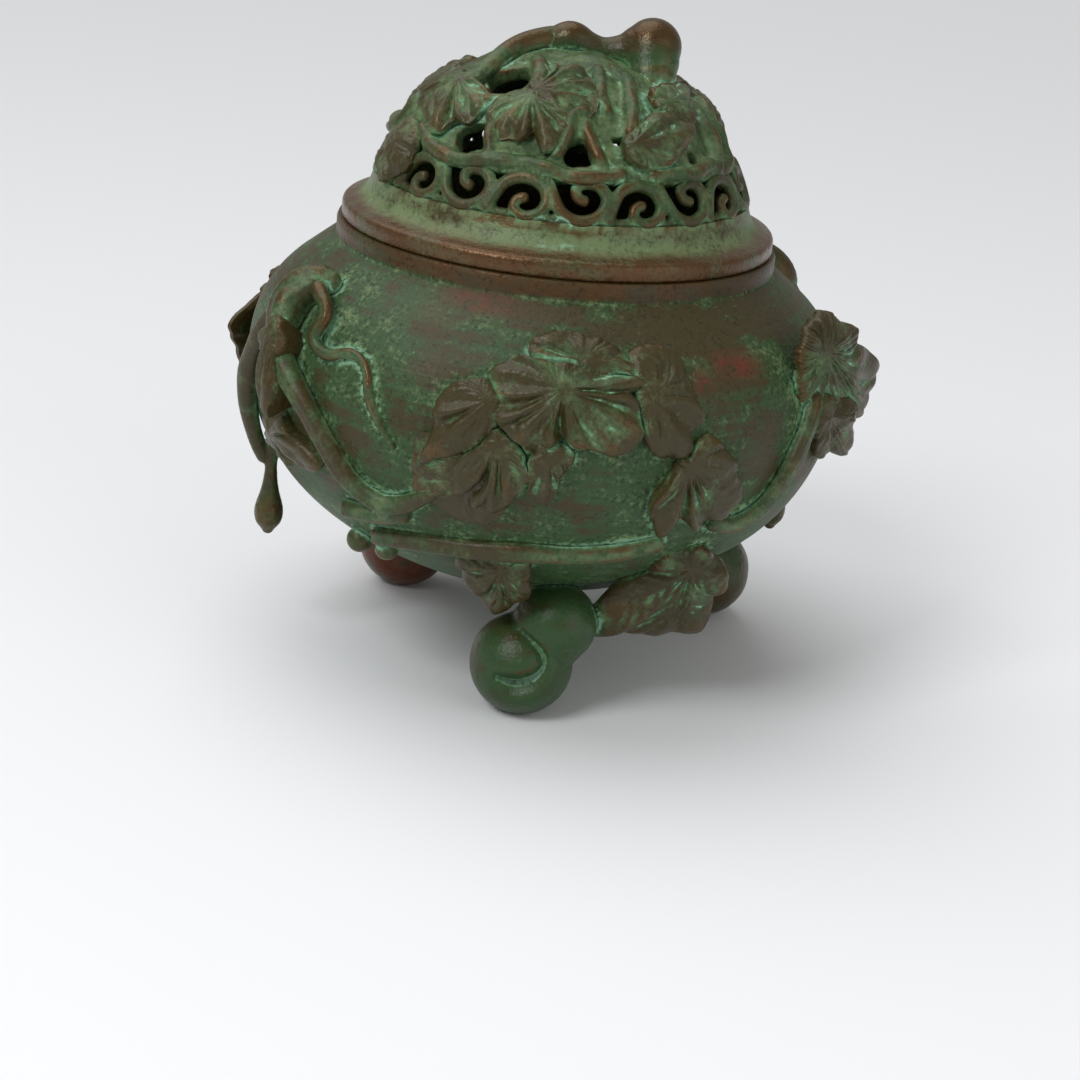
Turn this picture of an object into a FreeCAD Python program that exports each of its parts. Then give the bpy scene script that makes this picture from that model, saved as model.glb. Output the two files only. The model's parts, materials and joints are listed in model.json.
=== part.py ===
import FreeCAD, Part
import math
import os
from FreeCAD import Vector

# Incense burner of patinated bronze: a squat bowl on three gourd feet, dressed with vines and
# gourd leaves, under a loose lid with a scroll gallery, a pierced leaf dome and a gourd finial.
# Millimetres, +Z up. The origin lies on the table, under the bowl's axis. Azimuth 0 is the front
# (-Y), and it grows towards +X.

# Bowl
RIM_Z = 80.8
NECK_R = 40.8
NECK_BORE_R = 36.6
BELLY_R = 55.7
BELLY_Z = 55.3
SHOULDER_ARC_R = 21.5
SHOULDER_TURN = 51.5
LOWER_ARC_R = 34.5
LOWER_TURN = 52.0
WALL = 3.0

# Lid
FLANGE_R = 40.0
BAND_HEIGHT = 3.3
BAND_EDGE_R = 0.8
SPIGOT_R = 36.2
SPIGOT_BORE_R = 33.2
SPIGOT_DEPTH = 4.0
COVE_FOOT_R = 36.6
COVE_FOOT_HEIGHT = 4.2
COVE_INWARD = 0.75
COVE_UPWARD = 0.28
GALLERY_FOOT_HEIGHT = 8.5
GALLERY_HEIGHT = 7.4
DOME_R = 36.5
DOME_DROP = 3.0
DOME_WALL = 3.0
SCROLL_PERIODS = 10
SCROLL_HOLE = (7.2, 4.6)
SCROLL_TILT = 24.0
SCROLL_START = 0.25
DOME_LEAF_THICK = 2.2

# Finial: a double gourd that lies along X, its big bulb drawn out downwards like an egg
BIG_BULB = (13.9, 5.4)
SMALL_BULB = (-1.2, 3.4)
FINIAL_Z = 115.4
WAIST_R = 2.7
WAIST_Z = 113.8
EGG_END = (14.1, -3.2, 110.8)
EGG_END_R = 4.7

# Feet: a round gourd under a smaller one, ground flat where it stands
FOOT_BULB_R = 9.4
FOOT_FLAT = 0.4
FOOT_UPPER_R = 7.4
FOOT_UPPER_SIDE = 5.6
FOOT_UPPER_SINK = 5.0
FOOT_NECK_R = 6.6
FEET = (
    ("front", 2.0, 37.4),
    ("left", -127.0, 31.0),
    ("right", 117.0, 41.5),
)
# This foot is the mirror image of the other two, its large leaf towards the back
MIRRORED_FOOT = "left"

# A leaf's lobes are pairs of direction in degrees and reach in millimetres, counter-clockwise.
# Zero degrees points along growing azimuth and 90 points up the bowl.
NOTCH = 0.86
LEAF_DEPTH = 14.0

# Leaves that lie on the bowl: azimuth, height, thickness, lobes. A later leaf lies over an earlier.
CLUSTER = (
    ("top_leaf", 8.4, 69.0, 2.2, ((-90, 6.0), (-4, 10.6), (45, 7.6), (110, 8.6), (165, 10.0))),
    ("right_leaf", 20.2, 67.4, 2.2, ((-140, 7.0), (-70, 13.4), (-28, 10.8), (40, 8.3), (95, 8.0))),
    ("left_leaf", -10.0, 63.2, 2.4, ((-128, 14.9), (-65, 7.0), (40, 5.0), (120, 5.0), (185, 7.2))),
    ("small_leaf", 2.1, 56.5, 2.0, ((-112, 9.6), (-76, 10.0), (-10, 5.2), (90, 5.0), (170, 4.5))),
    ("lower_left_leaf", -6.9, 54.5, 3.1,
     ((-152, 7.6), (-116, 11.6), (-84, 13.5), (-40, 8.0), (20, 6.5), (110, 6.0))),
    ("lower_right_leaf", 26.7, 53.4, 2.9,
     ((-168, 7.6), (-98, 14.0), (-45, 14.2), (0, 11.6), (60, 7.0))),
    ("middle_leaf", 4.4, 66.2, 3.8,
     ((-150, 11.6), (-110, 9.2), (-60, 12.6), (-12, 13.9), (30, 11.0), (100, 6.8), (172, 13.6))),
)
HANDLE_LEAVES = (
    ("tongue_leaf", -53.4, 62.9, 3.6, ((-120, 6.5), (-76, 12.0), (-32, 6.5), (90, 3.0))),
    ("lower_leaf", -55.9, 46.1, 2.2, ((-120, 5.5), (-60, 6.5), (-7, 14.0), (40, 7.0), (130, 4.0))),
)

# Vines: azimuth, height, lift of the centre line off the bowl, radius
VINE = (
    (-47.5, 74.6, 1.6, 2.7), (-53.0, 73.0, 2.4, 3.5), (-57.5, 68.0, 2.4, 4.1), (-53.0, 61.0, 2.4, 3.1),
    (-45.5, 55.4, 1.6, 2.4), (-40.2, 49.6, 1.0, 2.2), (-35.1, 43.6, 0.8, 2.1), (-29.0, 40.8, 0.8, 2.0),
    (-23.5, 41.7, 0.8, 1.8), (-17.5, 45.4, 0.8, 1.7),
)
TENDRIL = (
    (-52.5, 71.0, 2.6, 1.4), (-46.0, 68.8, 2.2, 1.3), (-46.4, 65.0, 1.6, 1.2), (-42.5, 63.6, 0.7, 1.1),
    (-37.5, 65.0, 0.4, 1.0), (-33.2, 63.6, 0.4, 0.9), (-30.9, 59.0, 0.3, 0.8), (-28.3, 55.3, 0.3, 0.7),
    (-25.4, 51.8, 0.2, 0.6),
)
SIDE_VINE = (
    (60.0, 61.0, 1.0, 1.8), (56.0, 55.0, 1.0, 1.8), (52.5, 49.0, 1.0, 1.8), (49.0, 43.5, 1.0, 1.7),
    (43.0, 40.5, 0.9, 1.7), (37.0, 41.5, 0.8, 1.6),
)
CUT_STUB = ((-24.0, 39.6, 0.8, 1.7), (-30.0, 37.8, 0.9, 1.8), (-38.0, 37.0, 1.2, 1.9))
RIBBON = (
    (-33.0, 32.2, 0.9, 1.7), (-26.0, 33.2, 0.6, 1.8), (-19.0, 34.0, 0.5, 1.8), (-11.0, 34.6, 0.6, 1.8),
    (-2.0, 35.4, 0.6, 1.8), (8.0, 35.6, 0.6, 1.8), (18.0, 36.4, 0.6, 1.7), (26.0, 38.0, 0.5, 1.5),
)
BUDS = ((-43.0, 28.6, 1.2, 2.4), (-33.0, 29.6, 1.2, 2.2))

# A hanging gourd under each handle: the stem's route, then the drop's own section
DROP_STEM = (
    (-58.5, 67.0, 2.6, 2.1), (-67.0, 56.0, 1.4, 2.0), (-71.0, 47.0, 1.6, 1.9), (-73.0, 37.0, 2.4, 1.5),
)
DROP_AT = (-48.8, -15.2)
DROP_SECTION = ((38.0, 1.4), (33.5, 1.2), (29.5, 1.7), (25.8, 2.7), (23.2, 2.5), (21.4, 1.2))

# Free leaves: hub, azimuth and elevation of the face, thickness, lobes
EAR_LEAF = ((47.7, -27.9, 70.0), 50.0, 0.0, 2.2,
            ((-95, 11.0), (-65, 16.5), (-38, 24.4), (-16, 24.6), (10, 12.0), (45, 7.6), (90, 7.0),
             (158, 5.6)))
UNDER_LEAF = ((50.6, -27.5, 58.4), 50.0, -15.0, 2.0,
              ((-120, 4.5), (-64, 12.0), (-37, 19.0), (-8, 12.0), (60, 3.5)))
FOOT_LARGE_LEAF = ((29.0, -38.8, 31.7), 15.0, -15.0, 2.2,
                   ((-130, 25.0), (-104, 18.5), (-70, 18.0), (-30, 9.5), (60, 4.5), (165, 6.5)))
FOOT_SMALL_LEAF = ((-3.6, -46.4, 31.0), -8.0, -15.0, 2.2,
                   ((-178, 8.5), (-132, 9.5), (-96, 12.0), (-56, 8.5), (0, 5.0), (110, 5.0)))
LEFT_EAR_DROP = 10.0

# Leaves of the dome: azimuth, height, lobes
DOME_LEAVES = (
    ("upper", -9.0, 109.0,
     ((-130, 5.0), (-77, 6.4), (-40, 9.8), (-5, 9.6), (50, 7.0), (110, 4.4), (165, 4.0))),
    ("small_left", -62.0, 95.6, ((-140, 7.0), (-90, 7.0), (-35, 6.0), (30, 5.0), (105, 5.6), (170, 7.0))),
    ("left", -54.0, 106.6,
     ((-150, 11.6), (-118, 9.4), (-84, 12.4), (-28, 10.4), (60, 4.0), (138, 7.4), (178, 11.2))),
    ("middle", -15.0, 105.9,
     ((-162, 7.8), (-119, 10.6), (-88, 9.6), (-60, 11.2), (-16, 8.4), (60, 3.4), (130, 3.0))),
    ("right", 25.0, 101.3,
     ((-125, 3.4), (-76, 5.4), (-34, 8.6), (-3, 11.0), (22, 13.0), (46, 11.0), (74, 6.6))),
    ("right_tip", 48.0, 106.8,
     ((-100, 3.4), (-48, 6.0), (-6, 9.4), (16, 13.4), (44, 7.0), (110, 4.0), (180, 3.0))),
    ("back_right", 118.0, 104.0,
     ((-150, 10.5), (-118, 9.0), (-88, 11.5), (-35, 11.0), (30, 9.5), (100, 7.0), (160, 8.5))),
    ("back", 176.0, 104.4,
     ((-150, 11.0), (-95, 9.5), (-40, 11.0), (20, 9.5), (95, 7.0), (160, 9.0))),
    ("back_left", -120.0, 103.6,
     ((-150, 10.0), (-90, 10.5), (-35, 10.5), (30, 9.0), (100, 7.0), (160, 9.0))),
)

# Smoke holes of the dome: azimuth, height, radius
SMOKE_HOLES = (
    (-33.0, 108.8, 2.9), (-35.8, 100.2, 2.9), (4.6, 100.0, 2.7), (21.0, 102.9, 1.5), (50.5, 99.7, 1.4),
    (90.0, 101.0, 2.7), (95.0, 109.5, 2.5), (147.0, 100.5, 2.8), (150.0, 109.0, 2.6), (-152.0, 101.0, 2.7),
    (-92.0, 100.0, 2.6), (-140.0, 109.8, 2.6),
)
STEM = (
    (-53.0, 108.2, 0.5, 1.6), (-56.0, 110.4, 0.8, 1.8), (-65.0, 112.3, 1.0, 2.0), (-77.0, 113.6, 1.1, 2.2),
    (-88.0, 114.15, 1.2, 2.3),
)

LATHE = Vector(0, 0, 1)
ORIGIN = Vector(0, 0, 0)
SHOULDER_CENTRE = (BELLY_R - SHOULDER_ARC_R, BELLY_Z)
LOWER_CENTRE = (BELLY_R - LOWER_ARC_R, BELLY_Z)
BASE_ARC_R = LOWER_ARC_R + LOWER_CENTRE[0] / math.cos(math.radians(LOWER_TURN))
BASE_CENTRE_Z = BELLY_Z + LOWER_CENTRE[0] * math.tan(math.radians(LOWER_TURN))
DOME_CENTRE = Vector(0, 0, RIM_Z - DOME_DROP)
GALLERY_Z = RIM_Z + GALLERY_FOOT_HEIGHT
DOME_Z = GALLERY_Z + GALLERY_HEIGHT
HALF_TURN = 180.0


def polar(radius, azimuth, z):
    turn = math.radians(azimuth)
    return Vector(radius * math.sin(turn), -radius * math.cos(turn), z)


def section(radius, z):
    return Vector(radius, 0, z)


def on_arc(centre, radius, degrees):
    turn = math.radians(degrees)
    return section(centre[0] + radius * math.cos(turn), centre[1] + radius * math.sin(turn))


def arc(centre, radius, start, end):
    middle = on_arc(centre, radius, (start + end) / 2)
    return Part.Arc(on_arc(centre, radius, start), middle, on_arc(centre, radius, end)).toShape()


def line(first, last):
    return Part.LineSegment(first, last).toShape()


def turned(edges):
    return Part.Face(Part.Wire(edges)).revolve(ORIGIN, LATHE, 360)


def bowl_form(lift, neck_r, top_z):
    """The bowl's turned form, its wall moved out by lift, closed at its neck."""
    base_turn = -90.0
    shoulder = on_arc(SHOULDER_CENTRE, SHOULDER_ARC_R + lift, SHOULDER_TURN)
    slope = math.tan(math.radians(SHOULDER_TURN))
    neck = section(neck_r, shoulder.z + (shoulder.x - neck_r) / slope)
    base = arc((0, BASE_CENTRE_Z), BASE_ARC_R + lift, base_turn, -LOWER_TURN)
    lower = arc(LOWER_CENTRE, LOWER_ARC_R + lift, -LOWER_TURN, 0)
    upper = arc(SHOULDER_CENTRE, SHOULDER_ARC_R + lift, 0, SHOULDER_TURN)
    top = section(neck_r, top_z)
    axis_top = section(0, top_z)
    axis_foot = on_arc((0, BASE_CENTRE_Z), BASE_ARC_R + lift, base_turn)
    return turned([base, lower, upper, line(shoulder, neck), line(neck, top), line(top, axis_top),
                   line(axis_top, axis_foot)])


def bowl_place(azimuth, z, lift):
    """A point on the bowl's wall, with its outward normal and the directions along and up the wall."""
    shoulder_z = BELLY_Z + SHOULDER_ARC_R * math.sin(math.radians(SHOULDER_TURN))
    lower_z = BELLY_Z - LOWER_ARC_R * math.sin(math.radians(LOWER_TURN))
    if z > shoulder_z:
        tilt = SHOULDER_TURN
        slope = math.tan(math.radians(SHOULDER_TURN))
        radius = on_arc(SHOULDER_CENTRE, SHOULDER_ARC_R, SHOULDER_TURN).x - (z - shoulder_z) * slope
    elif z > BELLY_Z:
        tilt = math.degrees(math.asin((z - BELLY_Z) / SHOULDER_ARC_R))
        radius = on_arc(SHOULDER_CENTRE, SHOULDER_ARC_R, tilt).x
    elif z > lower_z:
        tilt = -math.degrees(math.asin((BELLY_Z - z) / LOWER_ARC_R))
        radius = on_arc(LOWER_CENTRE, LOWER_ARC_R, tilt).x
    else:
        tilt = -math.degrees(math.asin((BASE_CENTRE_Z - z) / BASE_ARC_R))
        radius = on_arc((0, BASE_CENTRE_Z), BASE_ARC_R, tilt).x
    return wall_frame(polar(radius, azimuth, z), azimuth, tilt, lift)


def dome_place(azimuth, z, lift):
    tilt = math.degrees(math.asin((z - DOME_CENTRE.z) / DOME_R))
    return wall_frame(polar(DOME_R * math.cos(math.radians(tilt)), azimuth, z), azimuth, tilt, lift)


def wall_frame(point, azimuth, tilt, lift):
    normal = polar(math.cos(math.radians(tilt)), azimuth, math.sin(math.radians(tilt)))
    along = polar(1, azimuth + 90, 0)
    return point + normal * lift, normal, along, normal.cross(along)


def leaf_prism(hub, along, up, lobes, start, depth):
    """A leaf's outline, one round arc to each lobe, drawn out along its normal."""
    normal = along.cross(up)

    def spot(degrees, reach):
        turn = math.radians(degrees)
        return hub + along * (reach * math.cos(turn)) + up * (reach * math.sin(turn)) + normal * start

    tips = [spot(*lobe) for lobe in lobes]
    notches = []
    for (first, near), (last, far) in zip(lobes, lobes[1:] + lobes[:1]):
        span = (last - first) % 360
        notches.append(spot(first + span / 2, NOTCH * (near + far) / 2))
    edges = []
    for before, tip, after in zip(notches[-1:] + notches[:-1], tips, notches):
        edges.append(Part.Arc(before, tip, after).toShape())
    return Part.Face(Part.Wire(edges)).extrude(normal * depth)


def ring_wire(point, side, cross, radius):
    """A closed circle of two half turns that starts on the given side."""
    halves = []
    for sign in (1, -1):
        halves.append(Part.Arc(point + side * (sign * radius), point + cross * (sign * radius),
                               point - side * (sign * radius)).toShape())
    return Part.Wire(halves)


def smooth_between(before, first, last, after, part):
    """A point between two neighbours on the smooth line that passes through all of them."""
    bend = (last - before) * part
    sway = (before * 2 - first * 5 + last * 4 - after) * part ** 2
    turn = (first * 3 - before - last * 3 + after) * part ** 3
    return first + (bend + sway + turn) * 0.5


def vine(route, place):
    """A round tapered stem along a route that is given on the wall it grows over."""
    spots = []
    for azimuth, z, lift, radius in route:
        point, normal, along, up = place(azimuth, z, lift)
        spots.append((point, normal, radius))
    ends = [spots[0]] + spots + [spots[-1]]
    points = []
    for before, first, last, after in zip(ends, ends[1:], ends[2:], ends[3:]):
        for part in (0.0, 0.5):
            middle = smooth_between(before[0], first[0], last[0], after[0], part)
            normal = first[1] * (1 - part) + last[1] * part
            points.append((middle, normal, first[2] * (1 - part) + last[2] * part))
    points.append(spots[-1])
    rings = []
    for index, (point, normal, radius) in enumerate(points):
        onward = points[min(index + 1, len(points) - 1)][0] - points[max(index - 1, 0)][0]
        cross = onward.cross(normal).normalize()
        side = cross.cross(onward).normalize()
        rings.append(ring_wire(point, side, cross, radius))
    # Short runs of rings, each turning well under a right angle, are joined at their flat ends.
    runs = [Part.makeLoft(rings[start:start + 3], True, True) for start in range(0, len(rings) - 1, 2)]
    return runs[0].fuse(runs[1:]).removeSplitter()


def largest(shape):
    solids = sorted(shape.Solids, key=lambda solid: solid.Volume)
    return solids[-1]


def seated(piece, neighbours):
    """The piece, cut back to the faces of what it lies on."""
    for other in neighbours:
        if piece.BoundBox.intersect(other.BoundBox):
            piece = largest(piece.cut(other))
    return piece


def half_turn(piece):
    copy = piece.copy()
    copy.rotate(ORIGIN, LATHE, HALF_TURN)
    return copy


def make_bowl():
    cavity = bowl_form(-WALL, NECK_BORE_R, RIM_Z)
    return bowl_form(0, NECK_R, RIM_Z).cut(cavity)


def make_flange():
    band_top = RIM_Z + BAND_HEIGHT
    foot = section(COVE_FOOT_R, RIM_Z + COVE_FOOT_HEIGHT)
    gallery_outer = math.sqrt(DOME_R ** 2 - (GALLERY_Z - DOME_CENTRE.z) ** 2)
    gallery_inner = math.sqrt((DOME_R - DOME_WALL) ** 2 - (GALLERY_Z - DOME_CENTRE.z) ** 2)
    top = section(gallery_outer, GALLERY_Z)
    inner_top = section(gallery_inner, GALLERY_Z)
    bore_top = section(SPIGOT_BORE_R, RIM_Z + COVE_FOOT_HEIGHT)
    bore_foot = section(SPIGOT_BORE_R, RIM_Z - SPIGOT_DEPTH)
    spigot_foot = section(SPIGOT_R, RIM_Z - SPIGOT_DEPTH)
    spigot_top = section(SPIGOT_R, RIM_Z)
    edge = section(FLANGE_R, RIM_Z)
    band = section(FLANGE_R, band_top - BAND_EDGE_R)
    shoulder = section(FLANGE_R - BAND_EDGE_R, band_top)
    round_edge = on_arc((FLANGE_R - BAND_EDGE_R, band_top - BAND_EDGE_R), BAND_EDGE_R, 45)
    hollow = section(foot.x - COVE_INWARD * (foot.x - top.x), foot.z + COVE_UPWARD * (top.z - foot.z))
    return turned([line(bore_foot, spigot_foot), line(spigot_foot, spigot_top), line(spigot_top, edge),
                   line(edge, band), Part.Arc(band, round_edge, shoulder).toShape(),
                   line(shoulder, foot), Part.Arc(foot, hollow, top).toShape(), line(top, inner_top),
                   line(inner_top, bore_top), line(bore_top, bore_foot)])


def dome_zone(low, high):
    wall = Part.makeSphere(DOME_R, DOME_CENTRE).cut(Part.makeSphere(DOME_R - DOME_WALL, DOME_CENTRE))
    slab = Part.makeCylinder(2 * DOME_R, high - low, Vector(0, 0, low))
    return wall.common(slab)


def slot_cutter(azimuth, z, tilt):
    """A round-ended slot through the gallery, pointing at the dome's centre."""
    length, width = SCROLL_HOLE
    point, normal, along, up = dome_place(azimuth, z, DOME_WALL)
    turn = math.radians(tilt)
    run = along * math.cos(turn) + up * math.sin(turn)
    rise = normal.cross(run)
    reach = run * ((length - width) / 2)
    half = rise * (width / 2)
    end = run * (width / 2)
    edges = [line(point - reach - half, point + reach - half),
             Part.Arc(point + reach - half, point + reach + end, point + reach + half).toShape(),
             line(point + reach + half, point - reach + half),
             Part.Arc(point - reach + half, point - reach - end, point - reach - half).toShape()]
    return Part.Face(Part.Wire(edges)).extrude(normal * (-4 * DOME_WALL))


def make_gallery():
    gallery = dome_zone(GALLERY_Z, DOME_Z)
    holes = 2 * SCROLL_PERIODS
    middle = (GALLERY_Z + DOME_Z) / 2
    for index in range(holes):
        tilt = SCROLL_TILT if index % 2 else -SCROLL_TILT
        gallery = gallery.cut(slot_cutter((index + SCROLL_START) * 360 / holes, middle, tilt))
    return gallery


def smoke_cutter(azimuth, z, radius):
    point, normal, along, up = dome_place(azimuth, z, 3 * DOME_WALL)
    return Part.makeCylinder(radius, 5 * DOME_WALL, point, normal * -1)


def make_finial(dome_ball):
    big_x, big_r = BIG_BULB
    small_x, small_r = SMALL_BULB
    big = Part.makeSphere(big_r, Vector(big_x, 0, FINIAL_Z))
    small = Part.makeSphere(small_r, Vector(small_x, 0, FINIAL_Z))
    waist = Part.makeCylinder(WAIST_R, big_x - small_x, Vector(small_x, 0, WAIST_Z), Vector(1, 0, 0))
    egg_end = Part.makeSphere(EGG_END_R, Vector(*EGG_END))
    return largest(big.fuse([small, waist, egg_end]).cut(dome_ball))


def lid_pieces():
    pieces = {"lid_flange": make_flange(), "lid_gallery": make_gallery()}
    cutters = [smoke_cutter(*hole) for hole in SMOKE_HOLES]
    dome = dome_zone(DOME_Z, DOME_CENTRE.z + DOME_R)
    dome_ball = Part.makeSphere(DOME_R, DOME_CENTRE)
    leaf_ball = Part.makeSphere(DOME_R + DOME_LEAF_THICK, DOME_CENTRE)
    for cutter in cutters:
        dome = dome.cut(cutter)
    pieces["lid_dome"] = largest(dome)
    finial = make_finial(dome_ball)
    pieces["finial_gourd"] = finial
    stem = seated(vine(STEM, dome_place), [dome_ball, finial])
    pieces["finial_stem"] = stem
    placed = [finial, stem]
    for name, azimuth, z, lobes in DOME_LEAVES:
        hub, normal, along, up = dome_place(azimuth, z, 0)
        leaf = leaf_prism(hub, along, up, lobes, -LEAF_DEPTH / 2, LEAF_DEPTH)
        leaf = seated(leaf.common(leaf_ball), [dome_ball] + cutters + placed)
        pieces["dome_" + name + "_leaf"] = leaf
        placed.append(leaf)
    return pieces


def bowl_leaf(azimuth, z, thickness, lobes):
    hub, normal, along, up = bowl_place(azimuth, z, 0)
    prism = leaf_prism(hub, along, up, lobes, -LEAF_DEPTH / 2, LEAF_DEPTH)
    return prism.common(bowl_form(thickness, NECK_R, RIM_Z))


def free_leaf(hub, azimuth, elevation, thickness, lobes):
    point, normal, along, up = wall_frame(Vector(*hub), azimuth, elevation, 0)
    return leaf_prism(point, along, up, lobes, -thickness / 2, thickness)


def foot(radius):
    """A gourd foot at the front: a round bulb, a smaller one beside and above it, and a thick neck."""
    bulb = Part.makeSphere(FOOT_BULB_R, Vector(0, -radius, FOOT_BULB_R - FOOT_FLAT))
    upper_r = math.hypot(radius, FOOT_UPPER_SIDE)
    wall_z = BASE_CENTRE_Z - math.sqrt(BASE_ARC_R ** 2 - upper_r ** 2)
    upper_z = wall_z - FOOT_UPPER_R + FOOT_UPPER_SINK
    upper = Part.makeSphere(FOOT_UPPER_R, Vector(FOOT_UPPER_SIDE, -radius, upper_z))
    span = 4 * BELLY_R
    table = Part.makeBox(span, span, FOOT_BULB_R, Vector(-span / 2, -span / 2, -FOOT_BULB_R))
    rise = upper.CenterOfMass - bulb.CenterOfMass
    neck = Part.makeCylinder(FOOT_NECK_R, rise.Length, bulb.CenterOfMass, rise)
    return bulb.fuse([upper, neck]).cut(table)


def drop():
    """A hanging gourd: its stem on the handle, then a turned drop that hangs from the stem's end."""
    x, y = DROP_AT
    rings = []
    for z, radius in DROP_SECTION:
        rings.append(ring_wire(Vector(x, y, z), Vector(1, 0, 0), Vector(0, 1, 0), radius))
    hanging = Part.makeLoft(rings, True, False)
    return vine(DROP_STEM, bowl_place).fuse(hanging)


def body_pieces():
    """Every piece of the bowl's body. Each lies against the bowl and round the pieces before it."""
    envelope = bowl_form(0, NECK_R, RIM_Z)
    pieces = {"bowl": make_bowl()}
    placed = []

    def add(name, shape):
        pieces[name] = seated(shape, [envelope] + placed)
        placed.append(pieces[name])

    def add_pair(name, twin, shape):
        add(name, shape)
        add(twin, half_turn(pieces[name]))

    front = FEET[0][1]
    for name, azimuth, radius in FEET:
        shape = foot(radius)
        if name == MIRRORED_FOOT:
            shape = shape.mirror(ORIGIN, Vector(1, 0, 0))
        shape.rotate(ORIGIN, LATHE, azimuth)
        add(name + "_foot", shape)
    for name, azimuth, radius in FEET:
        for kind, leaf in (("large", FOOT_LARGE_LEAF), ("small", FOOT_SMALL_LEAF)):
            shape = free_leaf(*leaf)
            shape.rotate(ORIGIN, LATHE, -front)
            if name == MIRRORED_FOOT:
                shape = shape.mirror(ORIGIN, Vector(1, 0, 0))
            shape.rotate(ORIGIN, LATHE, azimuth)
            add(name + "_foot_" + kind + "_leaf", shape)
    for name, *leaf in CLUSTER:
        add_pair("front_" + name, "back_" + name, bowl_leaf(*leaf))
    add_pair("left_vine", "right_vine", vine(VINE, bowl_place))
    add_pair("left_tendril", "right_tendril", vine(TENDRIL, bowl_place))
    for name, *leaf in HANDLE_LEAVES:
        add_pair("left_" + name, "right_" + name, bowl_leaf(*leaf))
    add_pair("left_hanging_gourd", "right_hanging_gourd", drop())
    add("right_ear_leaf", free_leaf(*EAR_LEAF))
    left_ear = half_turn(free_leaf(*EAR_LEAF))
    left_ear.translate(Vector(0, 0, -LEFT_EAR_DROP))
    add("left_ear_leaf", left_ear)
    add_pair("right_under_leaf", "left_under_leaf", free_leaf(*UNDER_LEAF))
    add_pair("right_side_vine", "left_side_vine", vine(SIDE_VINE, bowl_place))
    add_pair("front_cut_stub", "back_cut_stub", vine(CUT_STUB, bowl_place))
    add("front_ribbon_stem", vine(RIBBON, bowl_place))
    buds = []
    for azimuth, z, lift, radius in BUDS:
        point, normal, along, up = bowl_place(azimuth, z, lift)
        buds.append(Part.makeSphere(radius, point))
    for name, turned_buds in (("front_buds", buds), ("back_buds", [half_turn(bud) for bud in buds])):
        pieces[name] = Part.makeCompound([seated(bud, [envelope] + placed) for bud in turned_buds])
    return pieces


os.makedirs("parts", exist_ok=True)
for node, shape in {**body_pieces(), **lid_pieces()}.items():
    print(node, "valid" if shape.isValid() else "INVALID", len(shape.Solids), round(shape.Volume, 1))
    shape.exportStep(os.path.join("parts", node + ".step"))
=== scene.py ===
import json
import math

import bmesh
import bpy
import numpy as np
from bpy.props import FloatProperty, FloatVectorProperty, IntProperty, PointerProperty
from mathutils import Matrix, Vector, noise
from mathutils.bvhtree import BVHTree

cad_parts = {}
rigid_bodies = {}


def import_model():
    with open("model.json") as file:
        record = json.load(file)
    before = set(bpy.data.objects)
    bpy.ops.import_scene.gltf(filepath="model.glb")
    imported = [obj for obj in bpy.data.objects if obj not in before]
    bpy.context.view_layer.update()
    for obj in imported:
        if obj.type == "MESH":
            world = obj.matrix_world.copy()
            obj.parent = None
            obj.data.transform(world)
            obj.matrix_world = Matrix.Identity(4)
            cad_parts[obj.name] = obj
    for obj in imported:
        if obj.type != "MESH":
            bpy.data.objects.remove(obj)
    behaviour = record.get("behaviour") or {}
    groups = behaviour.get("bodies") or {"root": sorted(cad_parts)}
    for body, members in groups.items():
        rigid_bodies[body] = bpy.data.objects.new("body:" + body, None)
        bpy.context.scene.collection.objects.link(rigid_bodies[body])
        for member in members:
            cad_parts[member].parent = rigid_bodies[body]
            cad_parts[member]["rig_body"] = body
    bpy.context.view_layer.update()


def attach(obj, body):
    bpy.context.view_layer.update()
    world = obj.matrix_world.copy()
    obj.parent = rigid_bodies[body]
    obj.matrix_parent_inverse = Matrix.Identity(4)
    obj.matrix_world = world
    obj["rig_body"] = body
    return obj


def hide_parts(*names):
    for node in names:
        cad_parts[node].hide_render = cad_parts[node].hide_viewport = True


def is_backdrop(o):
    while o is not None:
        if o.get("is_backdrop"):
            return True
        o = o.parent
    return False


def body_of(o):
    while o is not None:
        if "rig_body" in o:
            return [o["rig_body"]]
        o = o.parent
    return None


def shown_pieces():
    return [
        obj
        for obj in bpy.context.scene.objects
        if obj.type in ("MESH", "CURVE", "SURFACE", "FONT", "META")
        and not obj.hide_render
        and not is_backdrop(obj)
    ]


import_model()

bl_info = {
    "name": "Gourd vine incense burner",
    "version": (1, 0, 0),
    "blender": (4, 5, 0),
    "location": "View3D > Sidebar > Burner",
    "description": "Builds a patinated bronze incense burner dressed with gourd vines and leaves",
    "category": "Object",
}

BODY = "burner_body"
LID = "lid"
MM = 0.001
FULL_TURN = 2 * math.pi
HALF_TURN = Matrix.Rotation(math.pi, 3, "Z")

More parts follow.
